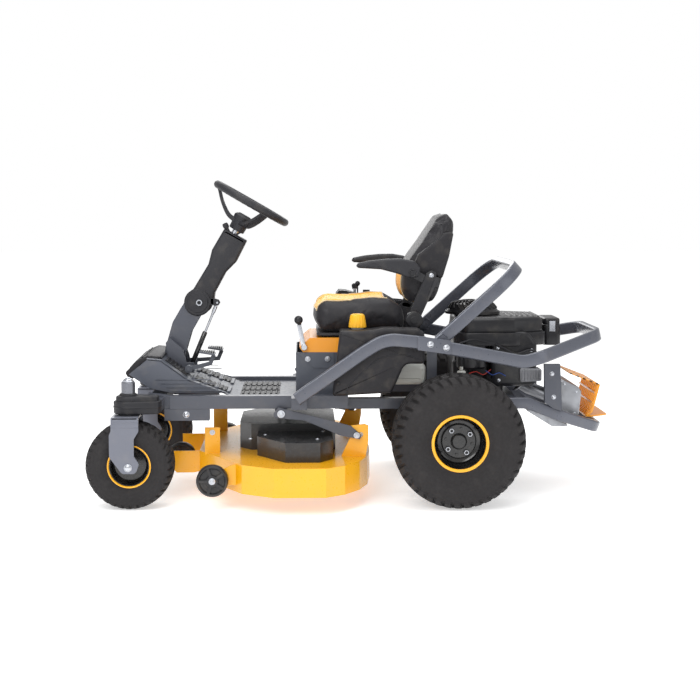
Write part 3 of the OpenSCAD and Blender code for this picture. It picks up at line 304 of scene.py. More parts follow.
def lathe(profile: Array | list[Point], centre: Point, axis: Point = (0, 1, 0), count: int = 64,
          closed: bool = False) -> Solid:
    """Profile turned about an axis: p(a, h) = centre + h axis + r (side cos a + up sin a).

    Args:
        profile: Rows of radius and height along the axis.
        centre: Where height is zero.
        axis: Direction of the axis.
        count: Number of steps round the axis.
        closed: Whether the profile is a loop; if not, its ends lie on the axis.

    Returns:
        The turned solid.
    """
    p = np.asarray(profile, float)
    k = unit(np.asarray(axis, float))
    ref = np.array([0, 0, 1.0]) if abs(k[2]) < 0.9 else np.array([1.0, 0, 0])
    side = unit(np.cross(ref, k))
    up = np.cross(k, side)
    a = np.linspace(0, TAU, count, endpoint=False)[:, None, None]
    ring = side * np.cos(a) + up * np.sin(a)
    points = np.asarray(centre, float) + p[None, :, 1:2] * k + p[None, :, 0:1] * ring
    return grid(points, wrap_u=True, wrap_v=closed, cap=False)


def disc(centre: Point, axis: Point, radius: float, length: float, edge: float = 1.0,
         count: int = 40) -> Solid:
    """Round plug of a radius and length that starts at centre, with edges rounded by a small chamfer.

    Args:
        centre: middle of the first face.
        axis: direction of the plug.
        radius: outer radius.
        length: length along the axis.
        edge: size of the chamfer.
        count: number of sides.

    Returns:
        The plug.
    """
    e = min(edge, radius * 0.4, length * 0.4)
    rows = [(0, 0), (radius - e, 0), (radius, e), (radius, length - e), (radius - e, length), (0, length)]
    return lathe(rows, centre, axis, count)


def sweep(path: Array, section: Array, normal: Point | None = None, closed: bool = False,
          scale: Array | None = None,
          cap: bool = True) -> Solid:
    """Section carried along a path.

    At each path point the section's x goes along side = normal x tangent and its y along
    up = tangent x side; the tangent is the difference of the neighbouring points.

    Args:
        path: Rows of x, y and z.
        section: Closed outline, rows of two numbers.
        normal: Direction that y of the section points to; chosen from the path if left out.
        closed: Whether the path is a loop.
        scale: Size of the section at each path point, one or two numbers each.
        cap: Whether the ends of an open path are closed.

    Returns:
        The swept solid.
    """
    p = np.asarray(path, float)
    step = np.roll(p, -1, 0) - np.roll(p, 1, 0)
    if not closed:
        step[0], step[-1] = p[1] - p[0], p[-1] - p[-2]
    tangent = unit(step)
    if normal is None:
        normal = np.eye(3)[np.argmin(np.abs(tangent).max(0))]
    side = unit(np.cross(np.broadcast_to(np.asarray(normal, float), p.shape), tangent))
    up = np.cross(tangent, side)
    s = np.broadcast_to(section, (len(p), *section.shape))
    if scale is not None:
        s = s * np.asarray(scale, float).reshape(len(p), 1, -1)
    points = p[:, None] + s[..., :1] * side[:, None] + s[..., 1:] * up[:, None]
    return grid(points, wrap_u=closed, cap=cap)


def circle(radius: float, count: int = 16) -> Array:
    """Outline of a circle about the origin."""
    a = np.linspace(0, TAU, count, endpoint=False)
    return np.stack([radius * np.cos(a), radius * np.sin(a)], 1)


def rod(path: list[Point] | Array, radius: float, bend: float = 0.0, count: int = 14) -> Solid:
    """Round bar along a line of points, whose inner corners are bent with radius bend."""
    p = fillet(path, bend, 8, closed=False) if bend else np.asarray(path, float)
    return sweep(p, circle(radius, count))


def hex_head(centre: Point, axis: Point, radius: float, height: float) -> Solid:
    """Washer with a chamfered six-sided head and a short stud end.

    Args:
        centre: point where the washer sits.
        axis: direction the head points in.
        radius: half the width over the corners.
        height: height of the head.

    Returns:
        Washer, head and stud end.
    """
    washer = disc(centre, axis, radius * 1.35, height * 0.2, 0.4, 28)
    k = unit(np.asarray(axis, float))
    base = np.asarray(centre, float) + k * height * 0.2
    e = radius * 0.12
    rows = [(0, 0), (radius, 0), (radius, height * 0.62), (radius - e, height * 0.75), (0, height * 0.75)]
    head = lathe(rows, tuple(base), axis, 6)
    stud = disc(tuple(base), axis, radius * 0.5, height * 1.1, 0.6, 20)
    return washer + head + stud


def dome_head(centre: Point, axis: Point, radius: float, height: float) -> Solid:
    """Round head whose height falls as a quarter ellipse, on a thin washer.

    Args:
        centre: point where the washer sits.
        axis: direction the head points in.
        radius: radius of the head.
        height: height of the head.

    Returns:
        Washer and head.
    """
    a = np.linspace(0, math.pi / 2, 7)
    cap = np.stack([radius * np.cos(a), height * (0.25 + 0.75 * np.sin(a))], 1)
    rows = np.concatenate([[(0, 0), (radius * 1.15, 0), (radius * 1.15, height * 0.2),
                            (radius, height * 0.2)], cap])
    return lathe(rows, centre, axis, 28)


# ---- finishes --------------------------------------------------------------------------------


def rgba(text: str) -> tuple[float, float, float, float]:
    """Linear colour of an sRGB hex text: ((c + 0.055) / 1.055)^2.4 above 0.04045, c / 12.92 below.

    Args:
        text: a hash sign and six hex digits.

    Returns:
        Red, green, blue and an alpha of one.
    """
    c = np.array([int(text[i : i + 2], 16) for i in (1, 3, 5)]) / 255
    linear = np.where(c > 0.04045, ((c + 0.055) / 1.055) ** 2.4, c / 12.92)
    return (*map(float, linear), 1.0)


def add(tree: bpy.types.NodeTree, kind: str, settings: dict | None = None,
        **links: object) -> bpy.types.Node:
    """Adds a node, sets its properties, and fills or links its inputs.

    Args:
        tree: The material's node tree.
        kind: Type of the node, such as "ShaderNodeMix".
        settings: Properties of the node itself.
        **links: Input by identifier or name, with "_" for a space; a socket is linked, any other
            value is set as a constant.

    Returns:
        The new node.
    """
    node = tree.nodes.new(kind)
    for key, value in (settings or {}).items():
        setattr(node, key, value)
    for key, value in links.items():
        name = key.replace("_", " ") if key.replace("_", " ") in node.inputs else key
        found = [s for s in node.inputs if s.identifier == key]
        socket = found[0] if found else node.inputs[name]
        if isinstance(value, bpy.types.NodeSocket):
            tree.links.new(value, socket)
        else:
            socket.default_value = value
    return node


@dataclass(frozen=True)
class Finish:
    """A surface finish. Sizes of its patterns are millimetres on the real piece.

    The base colour drifts between two tones with a broad noise, dust settles in broad patches,
    roughness follows a finer noise, and two bumps give the grain.
    """

    name: str
    colour: str
    tone: str
    slot: str = ""
    metallic: float = 0.0
    rough: float = 0.5
    rough_spread: float = 0.08
    coat: float = 0.0
    grain_mm: float = 1.5
    grain_depth: float = 0.05
    cells: bool = False
    wave_mm: float = 60.0
    wave_depth: float = 0.0
    drift_mm: float = 180.0
    dust: float = 0.06
    dust_colour: str = "#b5aa98"
    edge_mm: float = 0.0
    specular: float = 0.5
    sheen: float = 0.0
    soft: float = 0.0

    def material(self) -> bpy.types.Material:
        """Makes the material, or finds it if it is there already.

        Returns:
            The material with its node tree.
        """
        old = bpy.data.materials.get(self.name)
        if old:
            return old
        made = bpy.data.materials.new(self.name)
        made.use_nodes = True
        tree = made.node_tree
        tree.nodes.clear()
        place = add(tree, "ShaderNodeTexCoord").outputs["Object"]
        broad = self.noise(tree, place, self.drift_mm, 3.0)
        fine = self.noise(tree, place, self.grain_mm * 6, 4.0)
        tone = self.mix(tree, broad, rgba(self.colour), rgba(self.tone))
        patch = add(tree, "ShaderNodeMapRange", None, Value=self.noise(tree, place, 45.0, 6.0),
                    From_Min=0.52, From_Max=0.78, To_Min=0.0, To_Max=self.dust).outputs[0]
        base = self.mix(tree, patch, tone, rgba(self.dust_colour))
        rough = add(tree, "ShaderNodeMapRange", None, Value=fine, From_Min=0.3, From_Max=0.7,
                    To_Min=max(self.rough - self.rough_spread, 0.04),
                    To_Max=min(self.rough + self.rough_spread, 1.0)).outputs[0]
        shade = add(tree, "ShaderNodeBsdfPrincipled", None, Base_Color=base, Roughness=rough,
                    Metallic=self.metallic, Specular_IOR_Level=self.specular, Coat_Weight=self.coat,
                    Coat_Roughness=0.12, Sheen_Weight=self.sheen, Subsurface_Weight=self.soft,
                    Subsurface_Radius=(0.012, 0.011, 0.010), Normal=self.normal(tree, place))
        out = add(tree, "ShaderNodeOutputMaterial", None, Surface=shade.outputs[0])
        out.is_active_output = True
        return made

    @staticmethod
    def mix(tree: bpy.types.NodeTree, factor: object, a: object, b: object) -> bpy.types.NodeSocket:
        """Colour between a and b at factor.

        Args:
            tree: node tree to build in.
            factor: share of b, a value or a socket.
            a: first colour.
            b: second colour.

        Returns:
            The mixed colour.
        """
        node = tree.nodes.new("ShaderNodeMix")
        node.data_type = "RGBA"
        for socket, value in ((node.inputs[0], factor), (node.inputs[6], a), (node.inputs[7], b)):
            if isinstance(value, bpy.types.NodeSocket):
                tree.links.new(value, socket)
            else:
                socket.default_value = value
        return node.outputs[2]

    @staticmethod
    def noise(tree: bpy.types.NodeTree, place: bpy.types.NodeSocket, size_mm: float,
              detail: float) -> bpy.types.NodeSocket:
        """Noise whose patches are about size_mm across."""
        return add(tree, "ShaderNodeTexNoise", None, Vector=place, Scale=1 / (size_mm * MM),
                   Detail=detail).outputs[0]

    def normal(self, tree: bpy.types.NodeTree, place: bpy.types.NodeSocket) -> bpy.types.NodeSocket:
        """Grain over a broad wave over rounded edges.

        Args:
            tree: The material's node tree.
            place: Coordinates of the shaded point.

        Returns:
            The normal to shade with.
        """
        below = {}
        if self.edge_mm:
            edge = add(tree, "ShaderNodeBevel", {"samples": 6}, Radius=self.edge_mm * MM)
            below = {"Normal": edge.outputs[0]}
        if self.wave_depth:
            wave = add(tree, "ShaderNodeBump", None, Height=self.noise(tree, place, self.wave_mm, 2.0),
                       Strength=1.0, Distance=self.wave_depth * MM, **below)
            below = {"Normal": wave.outputs[0]}
        if self.cells:
            height = add(tree, "ShaderNodeTexVoronoi", {"feature": "SMOOTH_F1"}, Vector=place,
                         Scale=1 / (self.grain_mm * MM)).outputs[0]
        else:
            height = self.noise(tree, place, self.grain_mm, 3.0)
        grain = add(tree, "ShaderNodeBump", None, Height=height, Strength=1.0,
                    Distance=self.grain_depth * MM, **below)
        return grain.outputs[0]


class Paint(Enum):
    """Powder coats, with the faint orange peel of sprayed and baked paint."""

    FRAME = Finish("Slate powder coat", "#4e515b", "#484b54", "frame_paint", rough=0.38, coat=0.25,
                   grain_mm=1.6, grain_depth=0.006, wave_mm=30, wave_depth=0.01, edge_mm=2.2, metallic=0.2)
    FLOOR = Finish("Floor powder coat", "#575b65", "#50545e", "floor_paint", rough=0.42, coat=0.15,
                   grain_mm=1.6, grain_depth=0.006, edge_mm=1.5, dust=0.14, metallic=0.2)
    BOX = Finish("Box powder coat", "#52565f", "#4b4f59", "box_paint", rough=0.4, coat=0.15,
                 grain_mm=1.6, grain_depth=0.006, edge_mm=1.5, metallic=0.2)
    TUBE = Finish("Satin grey powder coat", "#5b5e68", "#555862", "tube_paint", rough=0.34, coat=0.3,
                  grain_mm=1.6, grain_depth=0.004, wave_mm=40, wave_depth=0.01, metallic=0.3)
    # The fork has the slate frame paint, coloured as it looks where lit: painted light, a lighter lit copy of
    # the frame paint.
    FORK = Finish("Light grey powder coat", "#6f727d", "#696c77", "fork_paint", rough=0.38, coat=0.2,
                  grain_mm=1.6, grain_depth=0.006, wave_mm=30, wave_depth=0.01, edge_mm=1.5, metallic=0.2)
    PEDAL = Finish("Dark grey powder coat", "#50535c", "#484b53", "pedal_paint", rough=0.42,
                   grain_mm=1.2, grain_depth=0.03, edge_mm=1.0)
    ORANGE = Finish("Orange powder coat", "#f2a019", "#ea9512", "orange_paint", rough=0.36, coat=0.3,
                    grain_mm=1.2, grain_depth=0.03, edge_mm=1.2, dust=0.04)
    DECK = Finish("Deck powder coat", "#fdb813", "#f7ae0c", "deck_paint", rough=0.33, coat=0.35,
                  grain_mm=1.4, grain_depth=0.03, wave_mm=10, wave_depth=0.025, edge_mm=2.0, dust=0.04)
    COVER = Finish("Black satin powder coat", "#17171a", "#1d1d20", "cover_paint", rough=0.34, coat=0.3,
                   grain_mm=1.2, grain_depth=0.03, wave_mm=9, wave_depth=0.02, edge_mm=1.5, dust=0.05)
    RIM = Finish("Gloss black wheel paint", "#0f0f11", "#151517", "rim_paint", rough=0.28, coat=0.4,
                 grain_mm=1.4, grain_depth=0.02, dust=0.05)
    RING = Finish("Yellow wheel paint", "#ffb91e", "#f9b016", "rim_paint", rough=0.35, coat=0.3,
                  grain_mm=1.4, grain_depth=0.02, dust=0.03)
    ENGINE = Finish("Black engine paint", "#212226", "#2a2b30", "engine_paint", rough=0.46,
                    grain_mm=1.6, grain_depth=0.08, edge_mm=1.5, dust=0.08)
    STRUT = Finish("Black cylinder enamel", "#121214", "#18181b", "strut_paint", rough=0.22, coat=0.5,
                   grain_mm=2.0, grain_depth=0.005, dust=0.02)
    SEAT = Finish("Black bracket enamel", "#222226", "#2a2a2e", "seat_steel", rough=0.42,
                  grain_mm=1.2, grain_depth=0.03, edge_mm=1.0)


class Metal(Enum):
    """Bare and plated metals."""

    ZINC = Finish("Zinc plating", "#cdd0d6", "#b9bcc3", "zinc_steel", metallic=1.0, rough=0.3,
                  grain_mm=2.0, grain_depth=0.01, drift_mm=12, dust=0.05, edge_mm=0.6)
    SHIELD = Finish("Aluminised steel", "#a6a8ad", "#95979c", "heat_shield_steel", metallic=0.85,
                    rough=0.42,
                    rough_spread=0.14, grain_mm=3.0, grain_depth=0.02, drift_mm=60, edge_mm=2.0, dust=0.1)
    CAST = Finish("Raw aluminium casting", "#9c9da1", "#8a8b90", "cast_aluminium", metallic=0.8, rough=0.52,
                  grain_mm=2.2, grain_depth=0.16, edge_mm=2.5, dust=0.14)
    HOUSING = Finish("Turned steel", "#84868d", "#74767d", "fork_paint", metallic=0.85, rough=0.34,
                     grain_mm=1.5, grain_depth=0.01, drift_mm=30, dust=0.05)
    BLADE = Finish("Ground spring steel", "#85878c", "#6f7176", "blade_steel", metallic=1.0, rough=0.38,
                   grain_mm=1.5, grain_depth=0.02, drift_mm=40, dust=0.12, edge_mm=1.0)


class Polymer(Enum):
    """Moulded plastics, rubber and vinyl."""

    TYRE = Finish("Tread rubber", "#232122", "#2c2a2b", "tyre_rubber", rough=0.78, rough_spread=0.07,
                  grain_mm=1.6, grain_depth=0.1, wave_mm=22, wave_depth=0.15, drift_mm=70, dust=0.1,
                  dust_colour="#5c5855", specular=0.35)
    BLACK = Finish("Black moulded plastic", "#1f1f23", "#27272b", "black_plastic", rough=0.5, specular=0.35,
                   grain_mm=0.9, grain_depth=0.05, cells=True, wave_mm=40, wave_depth=0.06, edge_mm=2.5)
    FENDER = Finish("Grained fender plastic", "#1f1e22", "#272629", "fender_plastic", rough=0.56,
                    specular=0.32,
                    grain_mm=1.2, grain_depth=0.09, cells=True, wave_mm=70, wave_depth=0.12, edge_mm=3.0)
    CONTROL = Finish("Soft grip plastic", "#252529", "#2d2d31", "control_plastic", rough=0.52,
                     specular=0.35,
                     grain_mm=0.8, grain_depth=0.05, cells=True, wave_mm=40, wave_depth=0.05)
    GLOSS = Finish("Glossy engine plastic", "#1b1b1e", "#232327", "black_plastic", rough=0.36, coat=0.05,
                   specular=0.4,
                   grain_mm=1.0, grain_depth=0.03, cells=True, wave_mm=40, wave_depth=0.08, edge_mm=2.5)
    FAN = Finish("Screen plastic", "#141416", "#1c1c1f", "fan_plastic", rough=0.42, grain_mm=1.0,
                 grain_depth=0.04, edge_mm=1.0)
    GUIDE = Finish("Black nylon", "#1a1a1c", "#232326", "guide_plastic", rough=0.44, grain_mm=1.0,
                   grain_depth=0.05, dust=0.1)
    CAP = Finish("Yellow moulded plastic", "#ffbf1f", "#f9b618", "cap_plastic", rough=0.4, grain_mm=1.0,
                 grain_depth=0.03, soft=0.05, edge_mm=0.6, dust=0.02)
    TANK = Finish("Natural polyethylene", "#cfd0cb", "#bdbeb9", "tank_plastic", rough=0.42, soft=0.25,
                  grain_mm=1.6, grain_depth=0.05, wave_mm=50, wave_depth=0.2, dust=0.04, edge_mm=5.0)
    VINYL = Finish("Black grained vinyl", "#1e1d21", "#262529", "seat_vinyl", rough=0.5, rough_spread=0.06,
                   grain_mm=1.5, grain_depth=0.12, cells=True, wave_mm=60, wave_depth=0.25, specular=0.32,
                   sheen=0.05, dust=0.03)
    PANEL = Finish("Yellow grained vinyl", "#f6b42a", "#efab22", "seat_vinyl", rough=0.5, rough_spread=0.06,
                   grain_mm=1.5, grain_depth=0.12, cells=True, wave_mm=60, wave_depth=0.2, sheen=0.05,
                   dust=0.03)
    PIPING = Finish("Beige piping", "#c9b48e", "#bba683", "seat_vinyl", rough=0.55, grain_mm=1.0,
                    grain_depth=0.08)
    RED = Finish("Red wire", "#b52a20", "#a3241b", "black_plastic", rough=0.4, grain_mm=2, grain_depth=0.01)
    BLUE = Finish("Blue wire", "#2a4fa3", "#244590", "black_plastic", rough=0.4, grain_mm=2,
                  grain_depth=0.01)


Look = Paint | Metal | Polymer


# ---- pieces ----------------------------------------------------------------------------------


def mm(v: object) -> Array:
    """A point of the frame, given in metres, in millimetres."""
    return np.array(v, float) / MM


def node_box(name: str) -> tuple[Array, Array]:
    """Lowest and highest corner of a CAD node, in millimetres."""
    low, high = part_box(name)
    return mm(low), mm(high)


def piece(name: str, solid: Solid, look: Look, body: str, replaces: tuple[str, ...] = (),
          bevel: float = 0.0,
          smooth_angle: float = 38.0, subdivide: int = 0) -> bpy.types.Object:
    """Makes one object from a solid, dresses it, and lets it ride on a body.

    Args:
        name: Name of the object.
        solid: Its surfaces, in millimetres.
        look: Its finish.
        body: Body of the frame that it moves with.
        replaces: CAD nodes that it stands for.
        bevel: Width of the bevel on its edges, zero for none.
        smooth_angle: Faces that meet below this angle are shaded as one.
        subdivide: Levels of Catmull-Clark subdivision.

    Returns:
        The new object.
    """
    name = name.replace(" ", "_").lower()
    mesh = bpy.data.meshes.new(name)
    mesh.from_pydata((solid.points * MM).tolist(), [], solid.faces)
    work = bmesh.new()
    work.from_mesh(mesh)
    bmesh.ops.remove_doubles(work, verts=work.verts, dist=2e-6)
    bmesh.ops.dissolve_degenerate(work, edges=work.edges, dist=1e-6)
    bmesh.ops.recalc_face_normals(work, faces=work.faces)
    work.to_mesh(mesh)
    work.free()
    mesh.polygons.foreach_set("use_smooth", np.ones(len(mesh.polygons), bool))
    mesh.set_sharp_from_angle(angle=math.radians(smooth_angle))
    made = bpy.data.objects.new(name, mesh)
    bpy.context.scene.collection.objects.link(made)
    if bevel:
        cut = made.modifiers.new("Rounded edges", "BEVEL")
        cut.width, cut.segments, cut.limit_method = bevel * MM, 2, "ANGLE"
        cut.angle_limit = math.radians(32)
        cut.harden_normals = True
    if subdivide:
        level = made.modifiers.new("Smooth skin", "SUBSURF")
        level.levels = level.render_levels = subdivide
    mesh.materials.append(look.value.material())
    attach(made, body)
    if replaces:
        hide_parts(*replaces)
    log.info("%s: %d faces on %s", name, len(mesh.polygons), body)
    return made


def dress(node: str, look: Look) -> None:
    """Gives a CAD node that stays as it is its finish.

    Args:
        node: name of the CAD node.
        look: finish it gets.
    """
    found = frame["nodes"][node]
    for at in range(len(found.material_slots)):
        found.material_slots[at].material = look.value.material()
    log.info("%s: dressed in %s", node, look.value.name)


class Side(Enum):
    """The two sides of the machine, as the sign of y."""

    LEFT = 1
    RIGHT = -1

    @property
    def word(self) -> str:
        """Name of the side in node and body names."""
        return self.name.lower()


# ---- wheels ----------------------------------------------------------------------------------


@dataclass
class Wheel:
    """Tyre with moulded tread lugs on a dished rim, about an axle along y."""

    side: Side
    where: str
    lugs: int
    lug_depth: float
    bead_r: float
    ring_w: float

    def __post_init__(self) -> None:
        """Takes the tyre's radius, width and centre from the frame."""
        low, high = node_box(f"{self.where}_tyre_{self.side.word}")
        self.centre = tuple((low + high) / 2)
        self.radius = float(high[2] - low[2]) / 2
        self.half = float(high[1] - low[1]) / 2
        self.body = f"{self.where}_wheel_{self.side.word}"
        self.out = (0.0, float(self.side.value), 0.0)

    def carcass(self) -> Array:
        """Section of the tyre as radius and distance to the side, bead to bead and back inside.

        Returns:
            Rows of radius and distance.
        """
        r, w, b = self.radius, self.half, self.bead_r
        deep = r - b
        knots = [(b + 2, 0.70 * w), (b + 0.10 * deep, 0.80 * w), (b + 0.34 * deep, 0.955 * w),
                 (b + 0.55 * deep, 0.97 * w), (b + 0.76 * deep, 0.935 * w),
                 (r - 0.075 * deep - self.lug_depth, 0.80 * w),
                 (r - self.lug_depth - 0.012 * deep, 0.56 * w), (r - self.lug_depth, 0.25 * w),
                 (r - self.lug_depth, 0)]
        half = spline(knots, 56)
        outer = np.concatenate([half, half[-2::-1] * (1, -1)])
        inner = np.linspace((b - 1, -0.66 * w), (b - 1, 0.66 * w), 4)
        return np.concatenate([outer, inner])

    def tyre(self) -> Solid:
        """Carcass turned round the axle, raised along its normal where a lug stands.

        With s the distance to the side over half the width and p the angle in lug pitches, a lug
        covers |frac(p + skew s) - 0.5| < half width in three bands of |s|, each set back by half a
        pitch from the next; the height is the depth times smooth steps at the lug's edges.

        Returns:
            The tyre as a closed skin.
        """
        section = self.carcass()
        steps = self.lugs * 16
        edge = np.roll(section, -1, 0) - np.roll(section, 1, 0)
        normal = unit(np.stack([edge[:, 1], -edge[:, 0]], 1))
        normal *= np.sign((normal * (section - (self.radius - 0.5 * self.half, 0))).sum(1))[:, None]
        s = section[None, :, 1] / self.half
        rise = (section[None, :, 0] - self.bead_r) / (self.radius - self.bead_r)
        p = np.linspace(0, self.lugs, steps, endpoint=False)[:, None]
        reach = np.abs(s) + np.clip(0.84 - rise, 0, 1) * 1.1

        def band(low: float, high: float, shift: float, skew: float, wide: float) -> Array:
            """Height of one band of lugs, between zero and one.

            Args:
                low: where the band starts, as a share of half the width.
                high: where it ends, as the same share.
                shift: how far the band is turned, in pitches.
                skew: how far a lug leans from the middle to the side, in pitches.
                wide: half the share of the pitch that a lug fills.

            Returns:
                Height at each point of the tread.
            """
            across = smooth(low - 0.02, low + 0.02, reach) * (1 - smooth(high - 0.02, high + 0.02, reach))
            along = np.abs((p + shift + skew * s * np.sign(s)) % 1.0 - 0.5)
            return across * (1 - smooth(wide - 0.035, wide + 0.035, along))

        outer_rows = (np.arange(len(section)) < 111)[None, :]
        lug = np.maximum.reduce([band(-1, 0.15, 0.0, 0.9, 0.36), band(0.21, 0.46, 0.5, -1.0, 0.36),
                                 band(0.52, 0.97, 0.08, 0.9, 0.33)]) * outer_rows * smooth(0.60, 0.74, rise)
        ribs = 0.9 * np.cos(rise * 150) * smooth(0.12, 0.2, rise) * (1 - smooth(0.28, 0.36, rise)) \
            + 1.2 * smooth(0.44, 0.455, rise) * (1 - smooth(0.475, 0.49, rise)) \
            + 1.2 * smooth(0.60, 0.61, rise) * (1 - smooth(0.625, 0.635, rise))
        height = lug * self.lug_depth * (0.62 + 0.38 * smooth(0.7, 0.92, rise)) + ribs * outer_rows
        a = np.linspace(0, TAU, steps, endpoint=False)[:, None]
        r = section[None, :, 0] + height * normal[None, :, 0]
        y = section[None, :, 1] + height * normal[None, :, 1]
        turned = np.stack([r * np.sin(a), y + 0 * a, r * np.cos(a)], -1)
        return grid(turned + self.centre, wrap_u=True, cap=False)

    def rim_profile(self) -> tuple[list[Point], list[Point]]:
        """Radius and outward distance of the coloured ring on the lip and of the barrel behind it.

        Returns:
            Points of the coloured ring, then points of the barrel.
        """
        b, w, lip = self.bead_r, self.half, self.ring_w
        face = 0.72 * w
        ring = [(b + 10, face - 3), (b + 10, face + 1), (b + 7, face + 4), (b + 10 - lip + 3, face + 4),
                (b + 10 - lip, face + 1), (b + 10 - lip, face - 4)]
        inboard = [(b + 9, -face), (b + 9, -face + 4), (b + 1, -face + 7), (b - 1, 0), (b + 1, face - 7),
                   (b + 9, face - 3)]
        return ring, inboard

    def build(self) -> None:
        """Makes the tyre and the rim; each kind of wheel adds its own dish."""
        piece(f"{self.where} tyre {self.side.word}", self.tyre(), Polymer.TYRE, self.body,
              (f"{self.where}_tyre_{self.side.word}",), smooth_angle=50)
        ring, _ = self.rim_profile()
        piece(f"{self.where} wheel ring {self.side.word}",
              lathe(fillet(ring, 2.0, 3), self.centre, self.out, 128, closed=True), Paint.RING, self.body)
        if self.where == "front":
            piece(f"{self.where} wheel inner ring {self.side.word}",
                  lathe(fillet(ring, 2.0, 3), self.centre, (0, -self.out[1], 0), 128, closed=True),
                  Paint.RING,
                  self.body)
        piece(f"{self.where} rim {self.side.word}", self.dish(), Paint.RIM, self.body,
              (f"{self.where}_rim_{self.side.word}",), smooth_angle=30)

    def dish(self) -> Solid:
        """Barrel and disc of the rim; each kind of wheel has its own."""
        raise NotImplementedError


@dataclass
class RearWheel(Wheel):
    """Driven wheel: deep dish, raised hub, centre cap and hollow-headed wheel nuts."""

    disc_y: float = 22
    hub_r: float = 67
    cap_r: float = 28.5
    nut_pcd: float = 101.6
    nut_angles: tuple[float, ...] = (34.5, 124.5, 214.5, 304.5)

    def dish(self) -> Solid:
        """Barrel that narrows in two steps to the disc, and the hub pressed out of it.

        Returns:
            The dish and its hub.
        """
        _, inboard = self.rim_profile()
        b, y = self.bead_r, self.disc_y
        face = 0.72 * self.half
        front = [(b + 9, face - 2), (b - 3.5, face - 4), (b - 6, face - 14), (b - 9, face - 36),
                 (b - 14, y + 22), (b - 20, y + 5), (b - 26, y + 1), (self.hub_r + 1, y),
                 (self.hub_r, y + 5), (self.hub_r - 4, y + 8), (self.cap_r + 3, y + 8),
                 (self.cap_r + 1, y + 11), (self.cap_r, y + 22), (self.cap_r - 4, y + 25), (0, y + 25)]
        back = [(0, y - 12), (60, y - 10), (b - 16, y - 6), (b - 7, -face + 8), (b + 9, -face)]
        solid = lathe(front + back + inboard[1:-1], self.centre, self.out, 96, closed=True)
        holes = [self.centre + turn(np.array([self.nut_pcd / 2, 0, 0]), (0, 1, 0), a + 45)
                 for a in self.nut_angles]
        studs = [disc(tuple(h + np.array(self.out) * (y + 8)), self.out, 5, 6, 0.5, 20) for h in holes]
        return union([solid, *studs])

    def build(self) -> None:
        """Adds the wheel nuts."""
        super().build()
        nuts = []
        for a in self.nut_angles:
            at = self.centre + turn(np.array([self.nut_pcd / 2, 0, 0]), (0, 1, 0), a)
            base = tuple(at + np.array(self.out) * (self.disc_y + 8))
            rows = [(6.2, 1), (10.8, 0), (10.8, 11), (9.6, 13), (6.8, 13), (6.2, 12)]
            nuts.append(lathe(rows, base, self.out, 6, closed=True))
        piece(f"Wheel nuts {self.side.word}", union(nuts), Metal.ZINC, self.body, bevel=0.5)


@dataclass
class FrontWheel(Wheel):
    """Steered wheel: the disc stands in the middle, with a long hub through it."""

    hub_r: float = 24

    def dish(self) -> Solid:
        """The same dish on both sides of a middle disc, and a turned hub.

        Returns:
            The dish and its hub.
        """
        b = self.bead_r
        face = 0.72 * self.half
        half = [(b + 9, face - 2), (b - 3, face - 4), (b - 5, face - 12), (b - 8, 18), (b - 16, 8),
                (self.hub_r + 14, 6), (self.hub_r + 4, 9), (self.hub_r, 16), (self.hub_r, self.half - 9),
                (self.hub_r - 2, self.half - 7), (10.4, self.half - 7)]
        loop = half + [(r, -y) for r, y in half[::-1]] + [(b + 1, -face + 7), (b - 1, 0), (b + 1, face - 7)]
        return lathe(loop, self.centre, self.out, 96, closed=True)


# ---- forks -----------------------------------------------------------------------------------


@dataclass
class Fork:
    """Steered fork: two legs under a crown, an axle bolt and a kingpin."""

    side: Side
    leg: tuple[Point, ...] = ((822, 357), (822, 305), (840, 275), (840, 210), (821, 182), (834, 144),
                              (886, 144), (933, 208), (933, 291), (926, 307), (926, 357))
    inner: float = 82
    plate: float = 8
    housing_top: float = 482

    def build(self) -> None:
        """Makes the fork on its own side of the machine."""
        axle = mm(joint(f"front_wheel_{self.side.word}_spin")["pos_m"])
        pin = mm(joint(f"fork_{self.side.word}_steer")["pos_m"])
        y, body = float(axle[1]), f"fork_{self.side.word}"
        outline = fillet(list(self.leg), [2, 6, 14, 14, 12, 18, 18, 16, 12, 6, 2], 4)
        legs = slab(outline, y + self.inner, y + self.inner + self.plate, crown=1.4) \
            + slab(outline, y - self.inner - self.plate, y - self.inner, crown=1.4)
        reach = self.inner + self.plate
        crown = slab(fillet([(823, y - reach), (925, y - reach), (925, y + reach), (823, y + reach)], 5, 3),
                     349.5, 358, "z", crown=1.5)
        # Two pressed folds across each leg, below the crown
        folds = [block((822.5, y + s * (reach + 0.2) - 0.7, z - 1.2),
                       (925.5, y + s * (reach + 0.2) + 0.7, z + 1.2))
                 for z in (337, 319) for s in (1, -1)]
        # The fork wears the lit copy of the slate paint: painted light.
        piece(f"Fork {self.side.word}", union([legs, crown, *folds]), Paint.FORK, body,
              (f"fork_{self.side.word}",))
        k = (float(pin[0]), float(pin[1]), 0.0)
        shaft = (disc((k[0], k[1], 350), (0, 0, 1), 16, 75)
                 + disc((k[0], k[1], self.housing_top + 0.5), (0, 0, 1), 24, 4))
        cap = dome_head((k[0], k[1], self.housing_top + 4), (0, 0, 1), 19, 12) \
            + disc((k[0], k[1], self.housing_top + 8), (0, 0, 1), 9, 10)
        bolts = [dome_head((float(axle[0]), y + s * (reach - 0.2), float(axle[2])), (0, s, 0), 13, 8)
                 for s in (1, -1)]
        axle_bar = disc((float(axle[0]), y - reach, float(axle[2])), (0, 1, 0), 9.8, 2 * reach)
        piece(f"Kingpin and axle {self.side.word}", union([shaft, cap, *bolts, axle_bar]), Metal.ZINC, body)


# ---- frame, floor and column -----------------------------------------------------------------


def joint(name: str) -> dict:
    """The frame's joint with this name."""
    return next(j for j in frame["joints"] if j["name"] == name)


